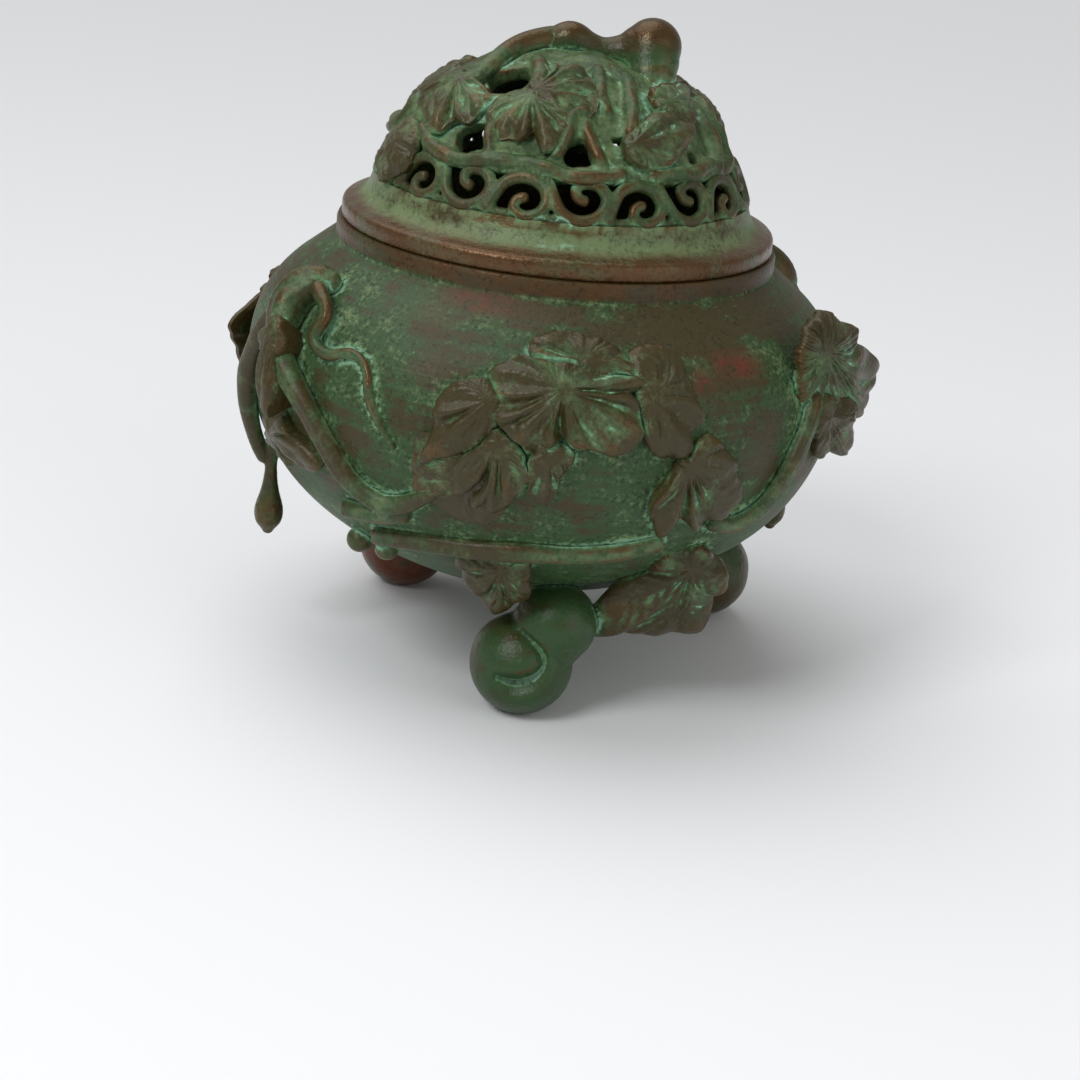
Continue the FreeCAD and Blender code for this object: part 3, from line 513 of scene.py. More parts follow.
def lathe(section, steps):
    """A closed turned form from a section of (radius, height) points: one sector is spun, then doubled
    round until the turn is full."""
    doublings = 4
    bm = bmesh.new()
    verts = [bm.verts.new((r, 0.0, z)) for r, z in section]
    edges = [bm.edges.new(pair) for pair in zip(verts, verts[1:])]
    sector = FULL_TURN / 2 ** doublings
    bmesh.ops.spin(bm, geom=verts + edges, cent=(0, 0, 0), axis=(0, 0, 1), angle=sector,
                   steps=steps // 2 ** doublings)
    for doubling in range(doublings):
        copy = bmesh.ops.duplicate(bm, geom=bm.verts[:] + bm.edges[:] + bm.faces[:])["geom"]
        turned = [item for item in copy if isinstance(item, bmesh.types.BMVert)]
        turn = Matrix.Rotation(sector * 2 ** doubling, 3, "Z")
        bmesh.ops.rotate(bm, cent=(0, 0, 0), matrix=turn, verts=turned)
    bmesh.ops.remove_doubles(bm, verts=bm.verts, dist=1e-4)
    bmesh.ops.recalc_face_normals(bm, faces=bm.faces)
    return bm


def lumps(places, size, height, seed):
    """Smooth unevenness of a hand-worked casting, in millimetres, at each place."""
    shift = Vector((seed * 7.3, seed * 3.1, seed * 5.7))
    return np.array([height * noise.noise(Vector(place) / size + shift) for place in places])


def around(turns, size, seed):
    """Slow unevenness round a leaf, between about -1 and 1, at each turn in degrees."""
    angle = np.radians(turns)
    return np.array([1.6 * noise.noise(Vector((size * x, size * y, 3.7 * seed + 0.5)))
                     for x, y in zip(np.cos(angle), np.sin(angle))])


def lobed(lobes, notch, seed):
    """The outline and the creases of a leaf that is notched between its lobes."""
    ribs = sorted((turn % 360, reach) for turn, reach in lobes)
    outline = []
    creases = []
    for (turn, near), (next_turn, far) in zip(ribs, ribs[1:] + [(ribs[0][0] + 360, ribs[0][1])]):
        gap = next_turn - turn
        depth = notch * np.clip(0.06 + (gap - 40) / 420, 0.05, 0.24)
        low = min((near + far) / 2 * (1 - depth), min(near, far) * 1.08)
        for part in np.linspace(0, 1, 12, endpoint=False):
            off = 1 - abs(2 * part - 1)
            tip = near if part < 0.5 else far
            point = np.clip((tip - low) / tip * 2.2, 0.45, 0.8)
            outline.append((turn + part * gap, tip - (tip - low) * ((1 - point) * off ** 2 + point * off)))
        deep = np.clip(0.7 + 1.1 * around([turn + gap / 2], 2.0, seed + 7)[0], 0.2, 1.3)
        creases.append((turn + gap / 2, deep * min(gap / 60, 1.2), 0.2 * gap))
    return outline, creases


def rim_reach(outline, theta):
    """How far a leaf reaches at each turn: straight between the points of its outline, a little rounded."""
    turns, reaches = np.array(sorted(outline)).T
    turns = np.append(turns, turns[0] + 360)
    reaches = np.append(reaches, reaches[0])
    even = np.arange(turns[0], turns[0] + 360, 0.5)
    after = np.clip(np.searchsorted(turns, even, side="right"), 1, len(turns) - 1)
    ahead = np.radians(turns[after] - even)
    behind = np.radians(even - turns[after - 1])
    near = reaches[after - 1]
    far = reaches[after]
    table = near * far * np.sin(ahead + behind) / (near * np.sin(behind) + far * np.sin(ahead))
    window = np.array((1, 2, 3, 4, 3, 2, 1)) / 16
    table = np.convolve(np.concatenate((table[-3:], table, table[:3])), window, "valid")
    return np.interp(theta, even, table, period=360)


def leaf(place, form, sizes, seed, lift, backed=False, veins=0.0, fine=0.0, steps=224):
    """A gourd leaf as a closed form, from its outline and its creases: puffed up between the creases, thick
    at its edge, and laid out by place. A backed leaf is a free sheet; the others stand on their wall."""
    outline, creases = form
    rings = 26
    edge = sizes.edge / MM
    pleat = sizes.pleat / MM
    section = [(ring / rings, 0.0) for ring in range(rings + 1)]
    section += [(1.0, -1.0)]
    back = rings // 2 if backed else 3
    section += [(0.97 * ring / back, -2.0) for ring in range(back, -1, -1)]
    bm = lathe(section, steps)
    flat = positions(bm)
    rho = np.minimum(np.hypot(flat[:, 0], flat[:, 1]), 1.0)
    level = np.round(-flat[:, 2])
    theta = np.degrees(np.arctan2(flat[:, 1], flat[:, 0]))
    ragged = 1 + 0.02 * around(theta, 3.0, seed) + 0.012 * around(theta, 8.0, seed + 1)
    rim = rim_reach(outline, theta) * ragged
    reach = rho * rim
    # Creases and ribs bow sideways on their way to the edge.
    swing = theta + 12 * around(theta, 1.1, seed + 3) * 4 * rho * (1 - rho)
    x = reach * np.cos(np.radians(swing))
    y = reach * np.sin(np.radians(swing))
    # Creases start away from the hub.
    grown = np.clip((reach - 0.6) / 5.0, 0, 1)
    grown = grown * grown * (3 - 2 * grown)
    fold = np.full_like(x, 0.3)
    for turn, deep, wide in creases:
        off = ((theta - turn + 180) % 360 - 180) / wide
        fold = fold - deep * np.exp(-off ** 2) + 0.4 * deep * np.exp(-(np.abs(off) - 1.5) ** 2 / 0.4)
    # Smaller folds fan out between them, unevenly.
    broad_fan = np.abs(around(theta + 25 * rho, 2.4, seed + 5))
    fine_fan = np.abs(around(theta - 40 * rho, 6.0, seed + 6))
    fan = (broad_fan + 0.25 * fine_fan) * (1 - 0.6 * veins)
    fold = pleat * grown * (0.55 * fold + 0.7 * fan - 0.3)
    # Ribs run halfway between the creases, with veins branching off them.
    turns = np.sort([crease[0] % 360 for crease in creases])
    turns = np.append(turns, turns[0] + 360)
    ribs = (turns[1:] + turns[:-1]) / 2
    away = np.min(np.abs((theta[:, None] - ribs + 180) % 360 - 180), axis=1)
    across = reach * np.sin(np.radians(np.minimum(away, 90)))
    along = reach * np.cos(np.radians(away))
    ridge = (0.3 + veins) * sizes.vein / MM * np.exp(-(across / 0.5) ** 2) * np.clip(1.1 - rho, 0, 1)
    branch = np.abs(((along - 1.3 * across) / 2.6) % 1.0 - 0.5) * 2
    side = veins * sizes.vein / MM * (np.cos(math.pi * branch) * 0.5 + 0.5) * np.clip(across / 1.0, 0, 1)
    side = side * np.clip((1 - rho) * 4, 0, 1)
    rays = fine * np.abs(np.sin(np.radians(theta) * 22 + 3 * around(theta, 2.0, seed))) ** 0.7 * grown
    crown = sizes.crown / MM * (1 - rho ** 2.2)
    curl = 1.0 * around(theta, 1.2, seed + 11) * rho ** 2
    rounding = -0.5 * edge * np.clip((rho - 0.86) / 0.14, 0, 1) ** 2
    flat_spots = np.stack((x, y, np.full_like(x, seed)), axis=1)
    wave = lumps(flat_spots, size=7.0, height=1.0, seed=seed) * (0.3 + 0.7 * rho)
    wave = wave + lumps(flat_spots, size=2.4, height=0.22, seed=seed)
    top = lift + crown + fold + ridge + side + rays + curl + rounding + wave
    if not backed:
        top = np.maximum(top, 0.75 * edge)
        over = np.maximum(top - lift, 0)
        top = np.minimum(top, lift) + sizes.stand / MM * np.tanh(over * MM / sizes.stand)
    high = np.where(level == 0, top, top - 0.8 * edge)
    if backed:
        inset = np.where(level == 2, 0.98, 1.0)
        high = np.where(level == 2, top - 1.5 * edge, high)
    else:
        set_back = 1 - sizes.undercut / MM / np.maximum(rim, 2.0)
        inset = np.where(level == 2, set_back, 1.0)
        high = np.where(level == 2, -0.8, high)
    move(bm, place(x * inset, y * inset, high))
    return bm


def smooth_route(points, pieces=6):
    """Points on the smooth line through a route's points, with every value carried along."""
    table = np.array(points, float)
    padded = np.vstack((2 * table[0] - table[1], table, 2 * table[-1] - table[-2]))
    out = []
    for before, first, last, after in zip(padded, padded[1:], padded[2:], padded[3:]):
        for t in np.linspace(0, 1, pieces, endpoint=False):
            slope = (last - before) * t
            bend = (2 * before - 5 * first + 4 * last - after) * t ** 2
            twist = (3 * first - before - 3 * last + after) * t ** 3
            out.append(0.5 * (2 * first + slope + bend + twist))
    out.append(table[-1])
    return np.array(out)


def stem(route, groove=0.0, knots=0.0, segments=18, facing=None):
    """A tapered stem along points of x, y, z and radius, its section extruded from ring to ring. A groove
    runs along the side that facing names, and it swells into knots."""
    table = np.array(route, float)
    table[:, 3] *= 1 + lumps(table[:, :3], size=6.0, height=knots, seed=8)
    table = np.vstack((rounded_end(table[::-1])[::-1], table, rounded_end(table)))
    bm = bmesh.new()
    bmesh.ops.create_circle(bm, cap_ends=True, segments=segments, radius=1.0)
    for vert in bm.verts:
        turn = math.atan2(vert.co.y, vert.co.x)
        vert.co *= 1 - groove * math.exp(-((turn - math.pi / 2) / 0.4) ** 2)
    frames = []
    normal = None
    for index, (x, y, z, radius) in enumerate(table):
        ahead = table[min(index + 1, len(table) - 1), :3] - table[max(index - 1, 0), :3]
        tangent = Vector(ahead).normalized()
        if facing is not None:
            normal = Vector(facing(np.array((x, y, z))))
        elif normal is None:
            normal = tangent.orthogonal()
        normal = (normal - tangent * normal.dot(tangent)).normalized()
        side = tangent.cross(normal)
        turn = Matrix((side * radius, normal * radius, tangent * radius)).transposed().to_4x4()
        frames.append(Matrix.Translation((x, y, z)) @ turn)
    bmesh.ops.transform(bm, matrix=frames[0], verts=bm.verts)
    edges = bm.edges[:]
    for before, after in zip(frames, frames[1:]):
        grown = bmesh.ops.extrude_edge_only(bm, edges=edges)["geom"]
        verts = [item for item in grown if isinstance(item, bmesh.types.BMVert)]
        edges = [item for item in grown if isinstance(item, bmesh.types.BMEdge)]
        edges = [item for item in edges if len(item.link_faces) == 1]
        bmesh.ops.transform(bm, matrix=after @ before.inverted(), verts=verts)
    bmesh.ops.edgeloop_fill(bm, edges=edges)
    bmesh.ops.recalc_face_normals(bm, faces=bm.faces)
    return bm


def rounded_end(table):
    """Rings that round a stem off beyond the last point of its route."""
    last = table[-1]
    onward = (table[-1] - table[-2])[:3]
    onward = onward / np.linalg.norm(onward)
    rings = []
    for part in (0.35, 0.65, 0.85, 0.97):
        radius = last[3] * math.sqrt(1 - part ** 2)
        rings.append(np.append(last[:3] + onward * last[3] * part * 0.8, radius))
    return np.array(rings)


def outward(place):
    """The way that faces away from the burner's axis."""
    return place * (1, 1, 0)


def on_wall(wall, route):
    """A route given on a wall, as points of x, y, z and radius."""
    points = []
    for azimuth, z, lift, radius in smooth_route(route):
        place = wall.lay(azimuth, z)(0.0, 0.0, lift)
        points.append((*place, radius))
    return points


def joined(forms):
    """One bmesh with all the forms in it."""
    whole = bmesh.new()
    for form in forms:
        mesh = bpy.data.meshes.new("part")
        form.to_mesh(mesh)
        form.free()
        whole.from_mesh(mesh)
        bpy.data.meshes.remove(mesh)
    return whole


def ball(centre, radius, subdivisions):
    """A round bulb or bud."""
    bm = bmesh.new()
    bmesh.ops.create_icosphere(bm, subdivisions=subdivisions, radius=radius)
    bmesh.ops.translate(bm, vec=centre, verts=bm.verts)
    return bm


def shaped(bm, kind, settings, others=()):
    """The form after a modifier has been worked into it; the other objects that it used are removed."""
    body = bare_object("cast", bm)
    modifier = body.modifiers.new(kind, kind)
    for name, value in settings.items():
        setattr(modifier, name, value)
    bpy.context.view_layer.update()
    result = bpy.data.meshes.new_from_object(body.evaluated_get(bpy.context.evaluated_depsgraph_get()))
    out = bmesh.new()
    out.from_mesh(result)
    bpy.data.meshes.remove(result)
    for thing in (body, *others):
        mesh = thing.data
        bpy.data.objects.remove(thing)
        bpy.data.meshes.remove(mesh)
    return out


def pierced(bm, cut):
    """The form with holes cut in it."""
    tool = bare_object("cut", cut)
    return shaped(bm, "BOOLEAN", {"operation": "DIFFERENCE", "solver": "EXACT", "object": tool}, [tool])


def fused(bm, voxel, passes):
    """The form as one cast skin: overlaps melted together, then smoothed."""
    bmesh.ops.triangulate(bm, faces=bm.faces)
    out = shaped(bm, "REMESH", {"mode": "VOXEL", "voxel_size": voxel, "adaptivity": 0.0})
    for _ in range(passes):
        bmesh.ops.smooth_vert(out, verts=out.verts, factor=0.5, use_axis_x=True, use_axis_y=True,
                              use_axis_z=True)
    return out


def bare_object(name, bm):
    """A form as an object, without a finish."""
    mesh = bpy.data.meshes.new(name)
    bm.to_mesh(mesh)
    bm.free()
    thing = bpy.data.objects.new(name, mesh)
    bpy.context.collection.objects.link(thing)
    return thing


def piece(bm, node, body, slot, turned=False, drop=0.0):
    """Makes a form a finished piece that stands for a node of the frame."""
    if turned:
        bmesh.ops.rotate(bm, cent=(0, 0, 0), matrix=HALF_TURN, verts=bm.verts)
    bmesh.ops.translate(bm, vec=(0, 0, -drop), verts=bm.verts)
    bmesh.ops.scale(bm, vec=(MM, MM, MM), verts=bm.verts)
    bmesh.ops.recalc_face_normals(bm, faces=bm.faces)
    thing = bare_object(node + "_cast", bm)
    thing.data.shade_smooth()
    thing.data.set_sharp_from_angle(angle=math.radians(50))
    thing.data.materials.append(bpy.data.materials["patinated_" + slot])
    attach(thing, body)
    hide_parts(node)


def add_node(tree, kind, settings=(), **links):
    """Adds a node with its settings and links; a link is a value or a socket, and in_3 is input 3."""
    node = tree.nodes.new(kind)
    for name, value in dict(settings).items():
        setattr(node, name, value)
    for name, value in links.items():
        name = name.replace("_", " ")
        socket = node.inputs[int(name[3:])] if name.startswith("in ") else node.inputs[name]
        if isinstance(value, bpy.types.NodeSocket):
            tree.links.new(value, socket)
        else:
            socket.default_value = value
    return node


def patina(name, colours, green, rubbed, brushed, gloss, film, crust):
    """Patinated cast bronze. Lost-wax casting leaves soft edges and fine pits; the chemical patina is green
    and mottled, thick and pale in the hollows, and handling rubs the crests back to brown metal."""
    material = bpy.data.materials.new("patinated_" + name)
    material.use_nodes = True
    tree = material.node_tree
    shader = tree.nodes["Principled BSDF"]
    shader.inputs["Specular IOR Level"].default_value = 0.32
    place = add_node(tree, "ShaderNodeTexCoord").outputs["Object"]
    height = add_node(tree, "ShaderNodeSeparateXYZ", Vector=place).outputs["Z"]
    hollow, worn_and_highlight, oxide = (add_node(tree, "ShaderNodeAttribute", {"attribute_name": mask}).outputs["Fac"]
                           for mask in ("hollow", "worn_and_highlight", "oxide"))
    product = {"operation": "MULTIPLY"}
    added = {"operation": "MULTIPLY_ADD"}
    smooth = {"interpolation_type": "SMOOTHSTEP"}
    mixed = {"data_type": "RGBA"}
    grains = []
    for size, detail, rough, stretch in GRAINS.values():
        spot = add_node(tree, "ShaderNodeVectorMath", product, in_0=place, in_1=stretch)
        grain = add_node(tree, "ShaderNodeTexNoise", Vector=spot.outputs["Vector"], Scale=1 / (size * MM),
                         Detail=detail, Roughness=rough)
        even = add_node(tree, "ShaderNodeMath", {"operation": "SUBTRACT"}, in_0=grain.outputs["Fac"],
                        in_1=0.5)
        grains.append(even.outputs["Value"])
    broad, cloud, patch, speck, streak = grains
    # The lid, from the cove up to the finial's gourd, paler partly as painted light from above
    lid_foot = add_node(tree, "ShaderNodeMapRange", smooth, in_0=height, in_1=LID_FOOT[0], in_2=LID_FOOT[1])
    lid_top = add_node(tree, "ShaderNodeMapRange", smooth, in_0=height, in_1=LID_TOP[0], in_2=LID_TOP[1],
                       in_3=1.0, in_4=0.0)
    lid = add_node(tree, "ShaderNodeMath", product, in_0=lid_foot.outputs["Result"],
                   in_1=lid_top.outputs["Result"]).outputs["Value"]
    # What the coats follow: a number, then grains and masks, each with its weight
    sums = {
        # Ground against green: broad clouds, broken up by smaller ones and by the brush, greener low down
        "green": (green - 0.5 + 0.25 * brushed, (broad, 1.9), (cloud, 1.3), (patch, 0.6),
                  (streak, 0.3 + 0.7 * brushed), (hollow, 0.4), (height, -4.5 * brushed), (lid, 0.12)),
        # A pale film, in clouds that break up into dots, thicker on the lid, where it is partly painted
        # light from
        #         # above
        "film": (film - 0.5, (cloud, 1.5), (speck, 0.6 + 1.2 * brushed), (streak, 0.8 * brushed),
                 (broad, 0.8), (hollow, 0.35), (lid, 0.12)),
        # Verdigris gathers in the hollows, with a ragged edge, and turns to mint where it is thick
        "verdigris": (0.0, (hollow, 1.0), (cloud, 1.5), (speck, 0.8), (broad, 1.6)),
        "bloom": (0.0, (hollow, 1.0), (broad, 2.4), (patch, 0.8), (speck, 1.0)),
        # Handling rubs the crests back to brown metal, and doesn't reach into the hollows; the band of it
        # on the
        #         # bowl's neck is a painted highlight
        "touch_and_highlight": (0.0, (worn_and_highlight, 0.65), (cloud, 1.7), (broad, 1.2)),
        "within_reach": (1.0, (hollow, -0.85)),
        "flecks": (0.0, (cloud, 1.0), (patch, 0.6)),
        # The deepest seams are darkened: painted shade, with some crevice dirt
        "shaded_seams": (0.0, (hollow, 1.0), (patch, 0.5)),
        "roughness": (gloss, (hollow, 0.25), (cloud, 0.4)),
        "skin": (0.0, (speck, 0.8), (patch, 0.8), (streak, 1.2 * brushed)),
    }
    level = {}
    for what, (total, *terms) in sums.items():
        for socket, weight in terms:
            total = add_node(tree, "ShaderNodeMath", added, in_0=socket, in_1=weight,
                             in_2=total).outputs["Value"]
        level[what] = total
    base = colours.ground
    # Coats, one over the other: where each starts and where it is full, and how well it covers
    for coat, low, high, cover in (("green", -0.2, 0.22, 1.0), ("film", -0.2, 0.5, 0.8),
                                   ("verdigris", 0.5, 1.15, crust), ("bloom", 0.8, 1.25, crust)):
        mask = add_node(tree, "ShaderNodeMapRange", smooth, in_0=level[coat], in_1=low, in_2=high,
                        in_4=cover)
        base = add_node(tree, "ShaderNodeMix", mixed, in_0=mask.outputs["Result"], in_6=base,
                        in_7=getattr(colours, coat)).outputs[2]
    rub_and_highlight = add_node(tree, "ShaderNodeMapRange", smooth, in_0=level["touch_and_highlight"], in_1=0.6 - rubbed,
                   in_2=1.1 - rubbed, in_4=0.85)
    bare = add_node(tree, "ShaderNodeMath", product, in_0=rub_and_highlight.outputs["Result"],
                    in_1=level["within_reach"]).outputs["Value"]
    # Red oxide in flecks
    flecks = add_node(tree, "ShaderNodeMapRange", smooth, in_0=level["flecks"], in_1=-0.22, in_2=0.0)
    red = add_node(tree, "ShaderNodeMath", product, in_0=oxide,
                   in_1=flecks.outputs["Result"]).outputs["Value"]
    # Fine dark pits in the skin, and painted shade with some crevice dirt darkening the deepest seams
    # between
    #     # pieces
    pits = add_node(tree, "ShaderNodeMapRange", smooth, in_0=speck, in_1=-0.17, in_2=-0.05,
                    in_3=0.25 + 0.35 * brushed, in_4=0.0)
    shaded_seams = add_node(tree, "ShaderNodeMapRange", smooth, in_0=level["shaded_seams"], in_1=0.86, in_2=1.0, in_4=0.6)
    pits_and_shade = add_node(tree, "ShaderNodeMath", {"operation": "MAXIMUM"}, in_0=pits.outputs["Result"],
                    in_1=shaded_seams.outputs["Result"]).outputs["Value"]
    for coat, mask in ((colours.bronze, bare), (colours.oxide, red), (colours.dirt_and_shade, pits_and_shade)):
        base = add_node(tree, "ShaderNodeMix", mixed, in_0=mask, in_6=base, in_7=coat).outputs[2]
    tree.links.new(base, shader.inputs["Base Color"])
    metallic = add_node(tree, "ShaderNodeMath", product, in_0=bare, in_1=0.55)
    tree.links.new(metallic.outputs["Value"], shader.inputs["Metallic"])
    roughness = add_node(tree, "ShaderNodeMath", added, in_0=bare, in_1=-0.14, in_2=level["roughness"])
    tree.links.new(roughness.outputs["Value"], shader.inputs["Roughness"])
    bump = add_node(tree, "ShaderNodeBump", Height=level["skin"], Strength=0.45, Distance=0.0004)
    tree.links.new(bump.outputs["Normal"], shader.inputs["Normal"])


def crowding(thing, forms, trees):
    """How closely the metal of other pieces stands in front of each vertex, from 0 to 1."""
    coords, normals = forms[thing][:2]
    reach = NEIGHBOUR_REACH
    close = np.zeros(len(coords))
    for other, form in forms.items():
        if other is thing:
            continue
        low, high = form[0].min(0) - reach, form[0].max(0) + reach
        near = np.flatnonzero(np.all((coords > low) & (coords < high), axis=1))
        nearest = trees[other].find_nearest
        found = [(index, *hit[0], hit[3]) for index, hit in
                 ((index, nearest(coord, reach)) for index, coord in zip(near, coords[near].tolist()))
                 if hit[0] is not None and hit[3] > 1e-6]
        if not found:
            continue
        table = np.array(found)
        index = table[:, 0].astype(int)
        distance = table[:, 4]
        facing = np.sum((table[:, 1:4] - coords[index]) * normals[index], axis=1) / distance
        weight = np.clip(0.5 + 2.5 * facing, 0, 1) * np.exp(-(distance / CREVICE) ** 2)
        close[index] = np.maximum(close[index], weight)
    return close


def sunken(coords, normals, edges):
    """How far each vertex lies below a smoothed copy of its piece, in millimetres."""
    smooth = coords.copy()
    spacing = np.median(np.linalg.norm(coords[edges[:, 0]] - coords[edges[:, 1]], axis=1))
    count = np.bincount(edges.ravel(), minlength=len(coords))
    for _ in range(int(np.clip((SMOOTHED / spacing) ** 2, 4, 40))):
        total = np.stack([np.bincount(edges[:, 0], smooth[edges[:, 1], axis], len(coords))
                          + np.bincount(edges[:, 1], smooth[edges[:, 0], axis], len(coords))
                          for axis in range(3)], axis=1)
        smooth = 0.5 * smooth + 0.5 * total / np.maximum(count, 1)[:, None]
    return np.sum((smooth - coords) * normals, axis=1)


def weather(pieces):
    """Works out, for every vertex, how deep it lies in a hollow and how proud it stands, from its own
    form and from the pieces next to it."""
    forms = {}
    trees = {}
    for thing in pieces:
        mesh = thing.data
        coords = np.empty(len(mesh.vertices) * 3)
        mesh.vertices.foreach_get("co", coords)
        coords = coords.reshape(-1, 3) / MM
        normals = np.empty(len(mesh.vertices) * 3)
        mesh.vertex_normals.foreach_get("vector", normals)
        edges = np.empty(len(mesh.edges) * 2, dtype=np.int64)
        mesh.edges.foreach_get("vertices", edges)
        forms[thing] = (coords, normals.reshape(-1, 3), edges.reshape(-1, 2))
        faces = [list(face.vertices) for face in mesh.polygons]
        trees[thing] = BVHTree.FromPolygons(coords.tolist(), faces)
    for thing, (coords, normals, edges) in forms.items():
        close = crowding(thing, forms, trees)
        sunk = sunken(coords, normals, edges)
        hollow = 1 - (1 - close) * (1 - np.clip(sunk / FULL_HOLLOW, 0, 1))
        worn_and_highlight = np.clip(-sunk / FULL_HOLLOW, 0, 1) * (1 - close)
        turn = np.degrees(np.arctan2(coords[:, 0], -coords[:, 1]))
        oxide = np.zeros(len(coords))
        if thing.name.startswith("bowl"):
            for azimuth, z, wide, tall, strength in RED_PATCHES:
                off = (turn - azimuth + 180) % 360 - 180
                spread = (np.radians(off) * np.hypot(coords[:, 0], coords[:, 1]) / wide) ** 2
                oxide = np.maximum(oxide, strength * np.exp(-spread - ((coords[:, 2] - z) / tall) ** 2))
        # The zones rub the metal brown; the band on the bowl's neck is a painted highlight
        for name, low_z, high_z, rub_and_highlight, red, clean in RUBBED_AND_HIGHLIGHT_ZONES:
            if thing.name == name:
                zone = np.clip((coords[:, 2] - low_z) / (high_z - low_z), 0, 1)
                worn_and_highlight = np.maximum(worn_and_highlight, rub_and_highlight * zone)
                oxide = np.maximum(oxide, red * zone)
                hollow = hollow * (1 - clean * zone)
        for name, values in (("hollow", hollow), ("worn_and_highlight", worn_and_highlight), ("oxide", oxide)):
            layer = thing.data.attributes.new(name, "FLOAT", "POINT")
            layer.data.foreach_set("value", values.astype(np.float32))


class BURNER_OT_bronze(bpy.types.Operator):
    """Make the patinated bronze finishes"""
    bl_idname = "burner.bronze"
    bl_label = "Bronze finishes"

    def execute(self, context):
        colours = context.scene.burner_colours
        for name, finish in FINISHES.items():
            patina(name, colours, *finish)
        return {"FINISHED"}


class BURNER_OT_bowl(bpy.types.Operator):
    """Turn the bowl with its neck and its hollow"""
    bl_idname = "burner.bowl"
    bl_label = "Bowl"

    def execute(self, context):
        bowl = context.scene.burner_bowl
        outer = bowl_wall(bowl, step=0.7)
        inner = bowl_wall(bowl, grow=-bowl.wall / MM, step=2.0)
        rim = bowl.rim_z / MM
        neck = bowl.neck_r / MM
        bore = bowl.bore_r / MM
        top = outer.z[-1]
        section = list(zip(outer.r, outer.z))
        section[0] = (0.0, section[0][1])
        section += [(neck, top + 0.25 * (rim - top)), (neck, top + 0.5 * (rim - top)),
                    (neck, top + 0.8 * (rim - top)), (neck - 0.25, rim - 0.08), (neck - 0.6, rim)]
        section += [(bore + 0.5, rim), (bore, rim - 0.5), (bore, inner.z[-1])]
        inside = list(zip(inner.r, inner.z))[-2::-1]
        inside[-1] = (0.0, inside[-1][1])
        bm = lathe(section + inside, steps=360)
        places = positions(bm)
        swell = lumps(places, size=16.0, height=0.22, seed=3)
        keep = places[:, 2] < top - 1.0
        radial = places * (1, 1, 0) / np.maximum(np.hypot(places[:, 0], places[:, 1]), 1.0)[:, None]
        move(bm, places + radial * (swell * keep)[:, None])
        piece(bm, "bowl", BODY, "bowl_bronze")
        return {"FINISHED"}


class BURNER_OT_feet(bpy.types.Operator):
    """Model the gourd feet, each with its curl"""
    bl_idname = "burner.feet"
    bl_label = "Feet"

    def execute(self, context):
        low_z, low_r = FOOT_LOW_BULB
        aside, high_z, high_r = FOOT_HIGH_BULB
        for name, (azimuth, radius, sense) in FEET.items():
            low = Vector((0, -radius, low_z))
            high = Vector((aside, -radius, high_z))
            neck = [(*low.lerp(high, part), FOOT_NECK + 0.6 * abs(2 * part - 1))
                    for part in (0.2, 0.4, 0.6, 0.8)]
            forms = [ball(low, low_r, subdivisions=5), ball(high, high_r, subdivisions=5),
                     stem(neck, segments=32)]
            bm = fused(joined(forms), voxel=0.4, passes=4)
            places = positions(bm)
            sink = np.zeros(len(places))
            for x, z, wide in smooth_route(FOOT_CURL):
                gap = np.hypot(places[:, 0] - x, places[:, 2] - z)
                sink = np.maximum(sink, 1.5 * wide * np.exp(-(gap / wide) ** 2))
            places[:, 1] += sink * (places[:, 1] < low.y)
            places[:, 2] = np.maximum(places[:, 2], 0.0)
            move(bm, places * (sense, 1, 1))
            bmesh.ops.rotate(bm, cent=(0, 0, 0), matrix=Matrix.Rotation(math.radians(azimuth), 3, "Z"),
                             verts=bm.verts)
            piece(bm, name + "_foot", BODY, "foot_bronze")
        return {"FINISHED"}


class BURNER_OT_foot_leaves(bpy.types.Operator):
    """Model the leaves that dress the feet"""
    bl_idname = "burner.foot_leaves"
    bl_label = "Leaves at the feet"

    def execute(self, context):
        sizes = context.scene.burner_leaves
        front = Matrix.Rotation(math.radians(-FEET["front"][0]), 4, "Z")
        for seed, (name, (azimuth, _, sense)) in enumerate(FEET.items(), 20):
            mirror = Matrix.Diagonal((sense, 1, 1, 1))
            turn = Matrix.Rotation(math.radians(azimuth), 4, "Z") @ mirror @ front
            for kind, (hub, face, tilt, lobes) in (("large", FOOT_LARGE_LEAF), ("small", FOOT_SMALL_LEAF)):
                form = lobed(lobes, sizes.notch, seed)
                place = flat_lay(hub, face, tilt, bow=0.006)
                bm = leaf(place, form, sizes, seed, lift=0.6, backed=True, veins=0.8)
                bmesh.ops.transform(bm, matrix=turn, verts=bm.verts)
                piece(bm, name + "_foot_" + kind + "_leaf", BODY, "leaf_bronze")
        return {"FINISHED"}


class BURNER_OT_clusters(bpy.types.Operator):
    """Model the leaf clusters on the front and the back"""
    bl_idname = "burner.clusters"
    bl_label = "Leaf clusters"

    def execute(self, context):
        sizes = context.scene.burner_leaves
        wall = bowl_wall(context.scene.burner_bowl)
        for side in ("front", "back"):
            for seed, (name, (azimuth, z, lift, outline, creases)) in enumerate(CLUSTER.items()):
                bm = leaf(wall.lay(azimuth, z), (outline, creases), sizes, seed, lift, steps=288)
                if name == "lower_left_leaf":
                    azimuth, z, lift, outline, creases = LOW_SHEET
                    bm = joined([bm, leaf(wall.lay(azimuth, z), (outline, creases), sizes, 8, lift)])
                piece(bm, side + "_" + name, BODY, "leaf_bronze", turned=side == "back")
        return {"FINISHED"}


